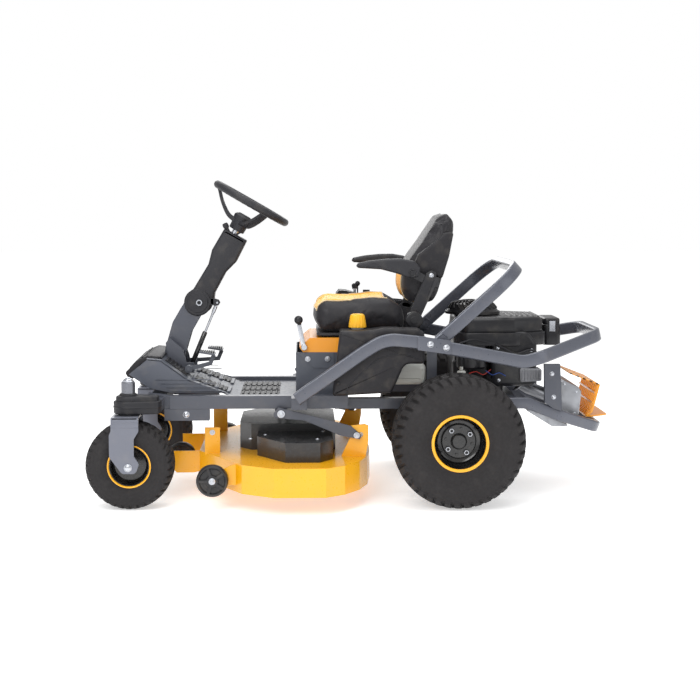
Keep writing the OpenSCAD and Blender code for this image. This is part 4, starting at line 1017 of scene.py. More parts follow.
@dataclass
class Chassis:
    """Welded frame, gear cases and spindle housings."""

    case_r: float = 56
    case_low: float = 363
    case_top: float = 431
    housing_r: float = 25.5
    bolts: tuple[Point, ...] = ((-281, 456, 622, 11), (-342, 456, 609, 11), (658, 348, 341, 11),
                                (677, 95, 406, 7), (-768, 330, 494, 8), (-776, 330, 402, 8))

    def build(self) -> None:
        """Dresses the frame, and makes the cases, the housings and the bolts."""
        dress("chassis_frame", Paint.FRAME)
        dress("frame_cross", Paint.FRAME)
        pin = mm(joint("fork_left_steer")["pos_m"])
        x, y = float(pin[0]), float(pin[1])
        a = np.linspace(-math.pi / 2, math.pi / 2, 14)
        nose = [(x + self.case_r * math.cos(t), y + self.case_r * math.sin(t)) for t in a]
        plan = nose + [(800, y + 46), (752, y + 38), (744, y + 24), (744, y - 24), (752, y - 38),
                       (800, y - 46)]
        lower = slab(plan, self.case_low, 412, "z", crown=6)
        ledge = slab(inset(np.array(plan), -1.5), 386, 392, "z", crown=1.5)
        upper = slab(inset(np.array(plan), 9), 405, self.case_top, "z", crown=8)
        collar = lathe([(0, 424), (34, 424), (34, 436), (29, 440), (0, 440)], (x, y, 0), (0, 0, 1), 48)
        ears = [disc((x + 44 * math.cos(t), y + 44 * math.sin(t), 411), (0, 0, 1), 7, 10, 1.5, 20)
                for t in (0.6, -0.6, 2.0, -2.0)]
        piece("Gear cases", union([lower, ledge, upper, collar, *ears]).both(), Polymer.BLACK, "chassis",
              ("gear_cases",))
        sleeve = lathe([(0, 430), (self.housing_r + 1, 430), (self.housing_r + 1, 480),
                        (self.housing_r - 1, 482.3), (0, 482.3)], (x, y, 0), (0, 0, 1), 48)
        piece("Spindle sleeves", sleeve.both(), Metal.HOUSING, "chassis")
        heads = union([dome_head((bx, by, bz), (0, 1, 0), r, 7) for bx, by, bz, r in self.bolts])
        piece("Frame bolts", heads.both(), Metal.ZINC, "chassis", ("frame_bolts",))


@dataclass
class Floor:
    """Pressed floor with ribbed foot rests, side skirts and the nose cap."""

    half: float = 262
    rest_y: float = 150
    rest_w: float = 118

    def tread(self, start: Point, end: Point, y: float, count: int) -> Solid:
        """Rubber mat between two points of the floor line, with raised ribs across it.

        Args:
            start: first point of the floor line, as X and Z.
            end: last point, as X and Z.
            y: middle of the mat.
            count: number of ribs.

        Returns:
            The mat with its ribs.
        """
        a, b = np.array(start, float), np.array(end, float)
        along = unit(b - a)
        up = np.array([-along[1], along[0]])
        length = float(np.linalg.norm(b - a))
        mat = slab([tuple(a + up * 2), tuple(b + up * 2), tuple(b + up * 6), tuple(a + up * 6)],
                   y - self.rest_w / 2, y + self.rest_w / 2)
        bars = []
        for i in range(count):
            at = a + along * length * (i + 0.5) / count
            corners = [at - along * 4 + up * 5, at + along * 4 + up * 5, at + along * 2.5 + up * 10,
                       at - along * 2.5 + up * 10]
            bars.append(slab([tuple(c) for c in corners], y - self.rest_w / 2 + 6, y + self.rest_w / 2 - 6))
        return union([mat, *bars])

    def build(self) -> None:
        """Dresses the floor pan and adds its mats, pads, skirt beads and nose cap."""
        dress("floor_pan", Paint.FLOOR)
        mats = (self.tread((505, 409), (640, 460), self.rest_y, 8)
                + self.tread((668, 475), (752, 537), self.rest_y, 6)
                + self.tread((300, 396), (455, 396), self.rest_y, 7))
        middle = self.tread((300, 396), (455, 396), 0, 7)
        piece("Foot rest mats", union([mats.both(), middle]), Polymer.BLACK, "chassis", bevel=1.0)
        beads = [slab(fillet([(520 + 14 * i, 421 + 15 * i), (716 + 22 * i, 421 + 15 * i),
                              (722 + 22 * i, 424 + 15 * i),
                              (528 + 14 * i, 424.5 + 15 * i)], 1, 2), self.half + 4, self.half + 7, crown=1)
                 for i in range(4)]
        piece("Skirt beads", union(beads).both(), Paint.FLOOR, "chassis")
        top = fillet([(758, 550), (770, 555), (816, 559), (858, 541), (908, 491), (890, 461), (872, 470),
                      (846, 518), (812, 536), (764, 545)], [4, 6, 18, 22, 10, 8, 6, 16, 14, 4], 5)
        cap = slab(top, -226, 226, crown=7)
        cheeks = slab(fillet([(812, 536), (846, 518), (872, 470), (842, 458), (812, 470)], 5, 3), 218, 226,
                      crown=2)
        piece("Nose cap", cap + cheeks.both(), Polymer.FENDER, "chassis", ("nose_cover",))
        seam = [slab(fillet([(x, z), (x + 3, z + 2.5), (x + 30, z - 26), (x + 27, z - 28)], 0.5, 1), -198,
                     198)
                for x, z in ((838, 551), (862, 535))]
        piece("Nose ribs", union(seam), Polymer.BLACK, "chassis", bevel=0.6)


@dataclass
class Column:
    """Tilting steering column: cover, steering wheel, and the gas strut that holds it."""

    side_line: tuple[Point, ...] = ((521, 1056), (572, 970), (587, 912), (652, 806), (676, 792), (687, 757),
                                    (672, 722), (640, 703), (604, 709), (580, 728), (566, 765), (563, 793),
                                    (517, 878), (475, 920), (431, 1006))
    half: float = 46

    def build(self) -> None:
        """Makes the cover, the wheel and the strut."""
        dress("column_support", Paint.FRAME)
        outline = fillet(list(self.side_line), [6, 18, 14, 10, 18, 22, 22, 22, 22, 22, 18, 14, 30, 30, 6],
                         5)
        shell = slab(outline, -self.half, self.half, crown=13)
        hub = disc((631, -self.half - 6, 757), (0, 1, 0), 55, 2 * self.half + 12, 5, 72)
        rings = lathe([(0, -self.half - 8), (40, -self.half - 8), (42, -self.half - 6), (42, self.half + 6),
                       (40, self.half + 8), (0, self.half + 8)], (631, 0, 757), (0, 1, 0), 64)
        clevis = union([slab(fillet([(578, 747), (546, 746), (539, 757), (545, 769), (578, 778)], 3, 3), y,
                             y + 5,
                             crown=1) for y in (48, 67)]) + block((566, 40, 752), (582, 72, 774))
        lip = sweep(turn(np.stack([np.zeros(24), 34 * np.cos(np.linspace(0, TAU, 24, endpoint=False)),
                                   34 * np.sin(np.linspace(0, TAU, 24, endpoint=False))], 1), (0, 1, 0),
                         -60.2)
                    + (480, 0, 1027), circle(4, 8), (-0.497, 0, 0.868), closed=True)
        piece("Column cover", union([shell, hub, rings, clevis, lip]), Polymer.CONTROL, "column",
              ("column_cover",))
        knob = rod([(501, 30, 1034), (513, 30, 1060)], 7) + lathe(
            [(0, -8), (9, -7), (12, 0), (12, 10), (9, 16), (0, 17)], (514, 30, 1062), (0.42, 0, 0.9), 32)
        piece("Tilt knob", knob, Polymer.BLACK, "column")
        self.wheel()
        self.strut()

    def wheel(self) -> None:
        """Steering wheel in its own axes, then tilted: rim, bumps, three dished spokes, hub and pad."""
        turned = joint("steering_wheel_turn")
        centre, axis = mm(turned["pos_m"]), np.array(turned["axis"])
        tilt = math.degrees(math.atan2(-axis[0], axis[2]))
        low, high = node_box("steering_wheel")
        ring_r, rim_r = float(high[1] - low[1]) / 2 - 16, 15.0
        a = np.linspace(0, TAU, 288, endpoint=False)
        v = np.linspace(0, TAU, 28, endpoint=False)
        bumps = 1 + 0.055 * np.maximum(np.cos(a * 36), 0)[:, None] * np.maximum(-np.cos(v - 0.9), 0)[None]
        r = ring_r + rim_r * bumps * np.cos(v)[None]
        ring = np.stack([r * np.cos(a)[:, None], r * np.sin(a)[:, None], rim_r * bumps * np.sin(v)[None]],
                        -1)
        parts = [grid(ring, wrap_u=True, cap=False)]
        for angle in (0, 120, 240):
            path = spline([(22, 0, -92), (60, 0, -84), (104, 0, -52), (138, 0, -16), (ring_r - 2, 0, -3)],
                          22)
            wide = np.interp(np.linspace(0, 1, 22), [0, 0.35, 0.8, 1], [1.0, 0.95, 0.72, 1.0])
            thick = np.interp(np.linspace(0, 1, 22), [0, 0.5, 1], [1.5, 1.0, 0.9])
            spoke = sweep(path, rounded_rect(13, 42, 5, 4), (0, 1, 0), scale=np.stack([thick, wide], 1))
            parts.append(spoke.turned((0, 0, 1), angle))
        hub = lathe([(0, -126), (30, -126), (33, -122), (34, -90), (38, -76), (38, -66), (30, -58),
                     (0, -56)],
                    (0, 0, 0), (0, 0, 1), 64)
        pad = slab(fillet([(52 * math.cos(t), 52 * math.sin(t)) for t in (0, TAU / 3, 2 * TAU / 3)], 22, 8),
                   -74, -54, "z", 5)
        solid = union([*parts, hub, pad.turned((0, 0, 1), 60)]).turned((0, 1, 0), -tilt).moved(*centre)
        piece("Steering wheel", solid, Polymer.CONTROL, "steering_wheel", ("steering_wheel",))
        shaft = disc((0, 0, -188), (0, 0, 1), 13.9, 64, 1).turned((0, 1, 0), -tilt).moved(*centre)
        piece("Steering shaft", shaft, Metal.ZINC, "steering_wheel")

    def strut(self) -> None:
        """Gas strut: black cylinder and bright rod between two eyes."""
        foot = mm(joint("strut_swing")["pos_m"])
        along = np.array(joint("strut_extend")["axis"])
        up = tuple(along)

        def at(distance: float) -> tuple[float, ...]:
            """Point this far up the strut."""
            return tuple(foot + along * distance)

        body = lathe([(0, 18), (8, 18), (10, 21), (10, 156), (8, 160), (5.6, 160), (5.6, 158), (0, 158)],
                     tuple(foot), up, 40)
        neck = disc(at(6), up, 5, 14) + disc((foot[0], foot[1] - 5, foot[2]), (0, 1, 0), 11.5, 10, 1)
        piece("Strut cylinder", body + neck, Paint.STRUT, "strut_cylinder", ("strut_cylinder",))
        length = 287.3
        eye = mm(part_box("strut_rod")[1])
        bar = disc(at(80), up, 4.9, length - 88, 0.5)
        fork_end = disc(at(length - 44), up, 7.5, 30, 1) + disc(at(length - 52), up, 6, 6, 1)
        ring = lathe([(8, -4), (12, -4), (12, 4), (8, 4)], (eye[0] - 12 - 0.1, 60, eye[2] - 12), (0, 1, 0),
                     32, closed=True)
        piece("Strut rod", union([bar, fork_end, ring]), Metal.ZINC, "strut_rod", ("strut_rod",))
        piece("Strut pins", disc((551, 46, 757), (0, 1, 0), 4, 28, 0.6), Metal.ZINC, "column")


@dataclass
class Pedals:
    """Drive pedal on the right and brake pedal on the left."""

    def build(self) -> None:
        """Dresses the arms and adds ribbed rubber pads."""
        for node in ("drive_pedal", "brake_pedal"):
            dress(node, Paint.PEDAL)
            low, high = node_box(node)
            y = float(low[1] + high[1]) / 2
            top = float(high[2])
            x = float(low[0])
            ribs = union([block((x + 6 + 8.5 * i, y - 34, top - 8 + 1.2 * i),
                                (x + 10 + 8.5 * i, y + 34, top - 1 + 0.2 * i))
                          for i in range(6)])
            piece(f"{node.replace('_', ' ').capitalize()} ribs", ribs, Polymer.BLACK, node, bevel=0.8)


# ---- padded parts ----------------------------------------------------------------------------


def inflate(made: bpy.types.Object, cap: float, voxel: float = 5.0, pressure: float = 4.0) -> None:
    """Swells a closed piece as a cloth cover over filling, then smooths it.

    The piece is remeshed evenly, cloth with inner pressure and no gravity runs for twenty frames,
    and each point is moved by its travel d times min(1, cap / |d|).

    Args:
        made: The piece.
        cap: Longest travel of a point, in millimetres.
        voxel: Spacing of the even mesh.
        pressure: Pressure of the filling.
    """
    scene = bpy.context.scene
    even = made.modifiers.new("Even mesh", "REMESH")
    even.mode, even.voxel_size = "VOXEL", voxel * MM
    rebuilt = bpy.data.meshes.new_from_object(made.evaluated_get(bpy.context.evaluated_depsgraph_get()))
    made.modifiers.clear()
    look = list(made.data.materials)
    made.data = rebuilt
    rebuilt.materials.clear()
    for material in look:
        rebuilt.materials.append(material)
    count = len(rebuilt.vertices)
    start = np.empty(count * 3)
    rebuilt.vertices.foreach_get("co", start)
    cloth = made.modifiers.new("Padding", "CLOTH")
    cloth.settings.quality = 4
    cloth.settings.use_pressure = True
    cloth.settings.uniform_pressure_force = pressure
    cloth.settings.effector_weights.gravity = 0.0
    for step in range(1, 21):
        scene.frame_set(step)
    swollen = made.evaluated_get(bpy.context.evaluated_depsgraph_get()).data
    end = np.empty(count * 3)
    swollen.vertices.foreach_get("co", end)
    travel = (end - start).reshape(-1, 3)
    length = np.linalg.norm(travel, axis=1, keepdims=True)
    moved = start.reshape(-1, 3) + travel * np.minimum(1.0, cap * MM / np.maximum(length, 1e-9))
    made.modifiers.clear()
    rebuilt.vertices.foreach_set("co", moved.ravel())
    scene.frame_set(1)
    rebuilt.polygons.foreach_set("use_smooth", np.ones(len(rebuilt.polygons), bool))
    rebuilt.update()
    level = made.modifiers.new("Smooth skin", "SUBSURF")
    level.levels = level.render_levels = 1


def on_surface(made: bpy.types.Object, points: Array, towards: Point, lift: float) -> Array:
    """Points carried along a direction on to a piece, and then back by a lift.

    Args:
        made: The piece.
        points: Rows of x, y and z outside it, in millimetres.
        towards: Direction in which each point looks for the piece.
        lift: How far short of the surface it stops, in millimetres.

    Returns:
        The points on the surface; those that meet nothing stay where they are.
    """
    way = Vector(towards).normalized()
    found = [made.ray_cast(Vector((p * MM).tolist()), way) for p in points]
    return np.array([mm(hit[1]) - np.array(way) * lift if hit[0] else p for hit, p in zip(found, points)])


@dataclass
class Seat:
    """Suspension seat: padded cushion and back, moulded rear shell, hinge covers and armrests."""

    half: float = 238
    cushion: tuple[Point, ...] = ((-178, 660), (-184, 700), (-176, 742), (-120, 764), (-50, 768), (30, 760),
                                  (136, 764), (168, 748), (173, 700), (152, 657), (60, 653))
    panel_half: float = 198
    back: tuple[Point, ...] = ((-362, 1128), (-386, 1096), (-376, 1010), (-345, 893), (-306, 766),
                               (-214, 754), (-186, 815), (-188, 873), (-236, 950), (-275, 1004),
                               (-314, 1064), (-346, 1114))
    half_back: float = 220
    shell: tuple[Point, ...] = ((-390, 1046), (-355, 1042), (-300, 994), (-250, 956), (-240, 930),
                                (-244, 903), (-252, 850), (-283, 850), (-317, 875), (-344, 857),
                                (-372, 949))
    arm: tuple[Point, ...] = ((-1, 913), (-10, 926), (-60, 936), (-120, 942), (-178, 943), (-230, 934),
                              (-254, 907), (-244, 868), (-204, 868), (-164, 884), (-99, 901), (-13, 906))
    pivot: Point = (-222, 887)
    recline: Point = (-231, 701)

    def build(self) -> None:
        """Makes the cushion, the back, the hinge covers and the armrests."""
        self.make_cushion()
        self.make_back()
        dress("seat_frame", Paint.SEAT)
        dress("back_brackets", Paint.SEAT)
        for side in Side:
            self.hinge(side)
            self.armrest(side)

    def pad(self, outline: Array, half: float, bow: float, radius: float, slices: int = 44) -> Solid:
        """Side outline carried across the machine, rounded at both ends.

        At y = half sin(a) the outline is drawn in by radius (1 - sqrt(1 - e^2)), where e is how
        far y reaches into the last radius, and its far points move along x by bow sin(a)^2.

        Args:
            outline: Side outline in x and z.
            half: Half width.
            bow: How far the ends stand back from the middle.
            radius: Radius of the rounded ends.
            slices: Number of sections across.

        Returns:
            The padded body.
        """
        wave = np.sin(np.linspace(-math.pi / 2, math.pi / 2, slices))
        y = half * wave
        reach = np.clip((np.abs(y) - (half - radius)) / radius, 0, 1)
        drawn = radius * (1 - np.sqrt(np.clip(1 - reach ** 2, 0.02, 1)))
        rows = [inset(outline, float(d)) - (bow * float(w) ** 2, 0) if d > 0.05
                else outline - (bow * float(w) ** 2, 0)
                for d, w in zip(drawn, wave)]
        return grid(np.stack([np.stack([r[:, 0], np.full(len(r), v), r[:, 1]], 1)
                              for r, v in zip(rows, y)]))

    def two_tone(self, made: bpy.types.Object, inside: Array) -> None:
        """Gives the faces picked out by a mask the yellow vinyl."""
        made.data.materials.append(Polymer.PANEL.value.material())
        made.data.polygons.foreach_set("material_index", inside.astype(np.int32))

    @staticmethod
    def centres(made: bpy.types.Object) -> Array:
        """Centre of each face of a piece, in millimetres.

        Args:
            made: the piece.

        Returns:
            One row for each face.
        """
        values = np.empty(len(made.data.polygons) * 3)
        made.data.polygons.foreach_get("center", values)
        return values.reshape(-1, 3) / MM

    def make_cushion(self) -> None:
        """Cushion with a yellow middle that falls over the front edge, edged with piping."""
        line = fillet(list(self.cushion), [16, 20, 26, 40, 60, 60, 34, 26, 26, 18, 30], 4)
        solid = self.pad(line, self.half, 22, 44)
        x, y, z = solid.points.T
        # Bolsters: the top rises towards the sides and behind, and dips where the operator sits
        top = smooth(715, 750, z)
        rise = (9 * np.exp(-((np.abs(y) - 196) / 34) ** 2)
                + 5 * np.exp(-((x + 140) / 40) ** 2) - 3 * np.exp(-(y / 120) ** 2))
        solid.points[:, 2] = z + top * rise
        made = piece("Cushion pad", solid, Polymer.VINYL, "seat", ("seat_cushion",))
        inflate(made, 9)
        bpy.context.view_layer.update()
        at = self.centres(made)
        wide = self.panel_half - 26 * np.exp(-((at[:, 0] + 30) / 70) ** 2)
        mask = (np.abs(at[:, 1]) < wide) & (at[:, 0] > -128) & (at[:, 2] > 738) & (at[:, 0] < 400)
        self.two_tone(made, mask)
        x = np.linspace(-128, 150, 60)
        for s in (1, -1):
            edge = np.stack([x, s * (self.panel_half - 26 * np.exp(-((x + 30) / 70) ** 2)),
                             np.full(60, 900.0)], 1)
            seam = on_surface(made, edge, (0, 0, -1), 1.0)
            piece(f"Cushion piping {'left' if s > 0 else 'right'}", sweep(seam, circle(2.8, 8)),
                  Polymer.PIPING, "seat")
        across = np.linspace(-self.panel_half + 4, self.panel_half - 4, 60)
        rear = on_surface(made, np.stack([np.full(60, -128.0), across, np.full(60, 900.0)], 1), (0, 0, -1),
                          1.0)
        front = on_surface(made, np.stack([np.full(60, 400.0), across, np.full(60, 738.0)], 1), (-1, 0, 0),
                           1.0)
        piece("Cushion piping rear", sweep(rear, circle(2.8, 8)), Polymer.PIPING, "seat")
        piece("Cushion piping front", sweep(front, circle(2.8, 8)), Polymer.PIPING, "seat")
        # Stitched channels across the middle panel
        for i, place in enumerate((-70, -10, 50, 108)):
            run = np.stack([np.full(50, float(place)), np.linspace(-140, 140, 50), np.full(50, 900.0)], 1)
            piece(f"Cushion seam {i + 1}", sweep(on_surface(made, run, (0, 0, -1), -0.4), circle(1.3, 6)),
                  Polymer.PIPING, "seat")

    def make_back(self) -> None:
        """Padded back with a yellow lower panel in front and a moulded shell behind."""
        line = fillet(list(self.back), [24, 30, 60, 60, 16, 22, 30, 50, 70, 60, 50, 24], 4)
        solid = self.pad(line, self.half_back, 10, 50)
        _, y, z = solid.points.T
        # The back narrows towards its top
        solid.points[:, 1] = y * (1 - 0.16 * smooth(950, 1120, z))
        made = piece("Backrest pad", solid, Polymer.VINYL, "seat_back", ("seat_back",))
        inflate(made, 9)
        bpy.context.view_layer.update()
        at = self.centres(made)
        front_x = -178 - 0.62 * np.maximum(at[:, 2] - 880, 0)
        mask = (np.abs(at[:, 1]) < 150) & (at[:, 0] > front_x - 34) & (at[:, 2] < 905) & (at[:, 2] > 772)
        self.two_tone(made, mask)
        for s in (1, -1):
            column = np.stack([np.full(50, 100.0), np.full(50, s * 150.0), np.linspace(775, 904, 50)], 1)
            piece(f"Back piping {'left' if s > 0 else 'right'}",
                  sweep(on_surface(made, column, (-1, 0, 0), 1.0), circle(2.8, 8)), Polymer.PIPING,
                  "seat_back")
        for name, level in (("top", 905), ("bottom", 773)):
            row = np.stack([np.full(50, 100.0), np.linspace(-150, 150, 50), np.full(50, float(level))], 1)
            piece(f"Back piping {name}", sweep(on_surface(made, row, (-1, 0, 0), 1.0), circle(2.6, 8)),
                  Polymer.PIPING, "seat_back")
        shell = fillet(list(self.shell), [10, 26, 30, 20, 16, 16, 14, 14, 14, 14, 60], 5)
        body = slab(shell, -self.half_back - 15, self.half_back + 15, crown=8)
        piece("Back shell", body, Polymer.FENDER, "seat_back")

    def hinge(self, side: Side) -> None:
        """Hinge cover with four lobes, and its bolt.

        Args:
            side: side of the machine.
        """
        x, z = self.recline
        a = np.linspace(0, TAU, 96, endpoint=False)
        lobed = 34 * (1 + 0.045 * np.cos(4 * a))
        outline = np.stack([x + lobed * np.cos(a), z + lobed * np.sin(a)], 1)
        s = side.value
        low, high = sorted((s * 271.0, s * 289.0))
        cover = slab(outline, low, high, crown=6)
        ring = disc((x, s * 289, z), (0, s, 0), 15, 2.4, 1.0, 40)
        piece(f"Hinge cover {side.word}", cover + ring, Polymer.GLOSS, "seat_back")
        web = slab(fillet([(x - 24, z + 8), (x + 22, z + 18), (-278, 884), (-300, 896), (-322, 884)], 12,
                          4),
                   *sorted((s * 252.0, s * 268.0)), crown=5)
        piece(f"Hinge arm {side.word}", web, Polymer.BLACK, "seat_back")
        bolt = dome_head((-299, s * 268, 876), (0, s, 0), 8, 5)
        piece(f"Hinge bolt {side.word}", bolt, Metal.ZINC, "seat_back")

    def armrest(self, side: Side) -> None:
        """Padded armrest with a round cap over its pivot.

        Args:
            side: side of the machine.
        """
        node = f"armrest_{side.word}"
        low, high = node_box(node)
        line = fillet(list(self.arm), [6, 8, 20, 30, 30, 20, 18, 16, 16, 20, 20, 6], 4)
        x, z = self.pivot
        s = side.value
        outer = float(high[1] if s > 0 else low[1])
        body = slab(line, float(low[1]), float(high[1]), crown=12)
        seam = slab(inset(line, 1.2), (low[1] + high[1]) / 2 - 0.8, (low[1] + high[1]) / 2 + 0.8)
        cap = lathe([(0, -3), (15, -3), (15.5, 3), (13.5, 4.5), (11.5, 3), (10, 1.5), (7, 1.5), (6, 4),
                     (0, 4.5)],
                    (x, outer, z), (0, s, 0), 40)
        piece(f"Armrest {side.word}", body + seam, Polymer.CONTROL, node, (node,), subdivide=1)
        piece(f"Armrest cap {side.word}", cap, Polymer.GLOSS, node)


# ---- tubes, body panels and controls ---------------------------------------------------------


def along(foot: Point, lean: float, plan: list[Point]) -> list[Point]:
    """Points of a plane that leans back from a foot line.

    Args:
        foot: Where the plane starts, in x and z.
        lean: Angle of the plane above the rearward direction, in degrees.
        plan: Distance up the plane and y of each point.

    Returns:
        The points in x, y and z.
    """
    c, s = math.cos(math.radians(lean)), math.sin(math.radians(lean))
    return [(foot[0] - u * c, v, foot[1] + u * s) for u, v in plan]


@dataclass
class Tubes:
    """Arch rails beside the seat, the hoop behind it, and the two bumper loops."""

    y: float = 440
    thin: float = 24
    tall: float = 50
    arch: tuple[Point, ...] = ((230, 411), (-20, 587), (-110, 642), (-262, 626))
    plate: tuple[Point, ...] = ((-231, 600), (-231, 655), (-360, 636), (-360, 582))
    foot: Point = (-318, 628)
    lean: float = 42
    bend: Point = (-640, 552)
    low_bend: Point = (-672, 376)

    def build(self) -> None:
        """Makes the four tubes and the plates that join them."""
        flat = rounded_rect(self.tall, self.thin, 7, 4)
        arch = [(x, self.y, z) for x, z in self.arch]
        rail = sweep(fillet(arch, 150, 12, closed=False), flat, (0, 1, 0))
        plate = slab(fillet(list(self.plate), 6, 3), 452, 456.5, crown=1.4)
        tab = block((-318, 380, 592), (-288, 428, 604))
        piece("Arch rails", union([rail, plate, tab]).both(), Paint.TUBE, "chassis", ("arch_rails",))
        hoop = along(self.foot, self.lean, [(0, 400), (418, 400), (418, -400), (0, -400)])
        c, s = math.cos(math.radians(self.lean)), math.sin(math.radians(self.lean))
        tube = sweep(fillet(hoop, 135, 14, closed=False), rounded_rect(28, self.tall, 7, 4), (s, 0, c))
        shoe = slab(fillet([(-344, 607.5), (-306, 607.5), (-306, 634), (-344, 634)], 4, 2), 400, 427.5,
                    crown=1.5)
        piece("Hoop", tube + shoe.both(), Paint.TUBE, "chassis", ("hoop",))
        beads = [rod([(-298, y, 634), (-330, y, 660), (-350, y, 646)], 2.6, 6, 8) for y in (386, 414)]
        piece("Hoop welds", union(beads).both(), Paint.TUBE, "chassis")
        upper = ([(-262, self.y, 622)]
                 + along(self.bend, 14, [(0, 440), (70, 440), (346, 205), (346, -205), (70, -440), (0, -440)])
                 + [(-262, -self.y, 622)])
        loop = sweep(fillet(upper, 105, 12, closed=False), rounded_rect(self.thin, self.tall, 7, 4),
                     (0.24, 0, 0.97))
        lower = ([(-596, 305, 376)]
                 + along(self.low_bend, -20.5,
                         [(0, 305), (150, 305), (324, 190), (324, -190), (150, -305), (0, -305)])
                 + [(-596, -305, 376)])
        skid = sweep(fillet(lower, 80, 12, closed=False), rounded_rect(28, 44, 7, 4), (-0.35, 0, 0.94))
        piece("Rear bumper", loop + skid, Paint.TUBE, "chassis", ("rear_bumper",))


@dataclass
class Panels:
    """Rear fenders, right console with its controls, fuel tank, seat box, seat pan and lever."""

    fender: tuple[Point, ...] = ((92, 419), (62, 668), (-62, 671), (-108, 680), (-236, 680), (-262, 660),
                                 (-262, 543), (-186, 543), (-136, 431))
    shelf: tuple[Point, ...] = ((62, 640), (62, 668), (-62, 670), (-108, 676), (-170, 676), (-170, 640))
    groove: tuple[Point, ...] = ((36, 424), (37, 452), (12, 480), (-40, 527), (-82, 562), (-132, 580),
                                 (-200, 576), (-252, 556))
    cap_at: Point = (-8, 300)

    def build(self) -> None:
        """Makes the panels and the small controls."""
        line = fillet(list(self.fender), [10, 12, 34, 40, 28, 22, 12, 34, 14], 5)
        wall = slab(line, 342, 420, crown=13)
        lip = slab(fillet(list(self.shelf), [4, 10, 24, 30, 8, 4], 4), 262, 344, crown=3)
        piece("Fenders", (wall + lip).both(), Polymer.FENDER, "chassis", ("fenders",))
        path = np.array([(x, 419.6, z) for x, z in fillet(list(self.groove), 40, 6, closed=False)])
        piece("Fender swage", sweep(path, circle(2.6, 8)).both(), Polymer.BLACK, "chassis")
        rivets = [dome_head((x, 419.5, z), (0, 1, 0), 7, 3) for x, z in ((70, 470), (-226, 600))]
        piece("Fender rivets", union(rivets).both(), Polymer.BLACK, "chassis")
        dress("console", Polymer.BLACK)
        ring = lathe([(9, 0), (14, 0), (14, 3), (9, 3)], (-20, -372, 752), (0.1, 0, 1), 32, closed=True)
        piece("Key ring", ring, Metal.ZINC, "chassis")
        dress("ignition_key", Metal.ZINC)
        bow = slab(fillet([(-32, 790), (-8, 790), (-6, 806), (-14, 812), (-26, 812), (-34, 806)], 4, 4),
                   -375.6, -368.4, crown=1.8)
        piece("Key bow", bow, Polymer.BLACK, "ignition_key")
        dress("pto_knob", Polymer.GLOSS)
        dress("throttle_lever", Polymer.CONTROL)
        tank = fillet([(-276, 450), (-276, 536), (-150, 540), (-90, 610), (28, 640), (28, 450)],
                      [24, 26, 40, 40, 24, 24], 6)
        neck = disc((self.cap_at[0], self.cap_at[1], 630), (0, 0, 1), 24, 58, 1.5, 48)
        piece("Fuel tank", slab(tank, 122, 323, crown=26) + neck, Polymer.TANK, "chassis", ("fuel_tank",))
        self.filler_cap()
        dress("seat_box", Paint.BOX)
        dress("seat_pan", Paint.ORANGE)
        dress("battery", Polymer.BLACK)
        heads = [hex_head((x, 236.5, 545), (0, 1, 0), 8, 6) for x in (108, 186)]
        piece("Box bolts", union(heads).both(), Metal.ZINC, "chassis")
        self.lever()

    def filler_cap(self) -> None:
        """Tapered cap with fluted sides and a domed top."""
        x, y = self.cap_at
        rise = np.array([676, 679, 700, 718, 724, 728, 729.5])
        radius = np.array([34, 35, 31.5, 29, 26.5, 20, 0.0])
        a = np.linspace(0, TAU, 160, endpoint=False)
        flute = 1 - 0.035 * (np.cos(16 * a) > 0.2)[None] * ((rise < 719) & (rise > 678))[:, None]
        r = radius[:, None] * flute
        skin = np.stack([x + r * np.cos(a), y + r * np.sin(a), np.broadcast_to(rise[:, None], r.shape)], -1)
        piece("Fuel cap", grid(skin), Polymer.CAP, "fuel_cap", ("fuel_cap",), smooth_angle=30)

    def lever(self) -> None:
        """Parking lever: flat bright shaft on a pivot, with a round black knob."""
        pivot = mm(joint("parking_lever_swing")["pos_m"])
        x, y, z = (float(v) for v in pivot)
        boss = disc((x, y - 14, z), (0, 1, 0), 12, 28, 1.5)
        bar = slab(fillet([(x - 9, z - 8), (x + 9, z - 8), (229, 684), (213, 688)], 3, 3), y - 4, y + 4,
                   crown=1.2)
        piece("Parking lever", boss + bar, Metal.ZINC, "parking_lever", ("parking_lever",))
        a = np.linspace(-math.pi / 2, math.pi / 2, 24)
        rows = np.stack([17 * np.cos(a), 17 * np.sin(a)], 1)
        rows[0, 0] = rows[-1, 0] = 0
        collar = disc((218, y, 680), (0.2, 0, 1), 8, 10, 1)
        piece("Lever knob", lathe(rows, (222, y, 700), (0, 0, 1), 40) + collar, Polymer.GLOSS,
              "parking_lever")


# ---- engine ----------------------------------------------------------------------------------


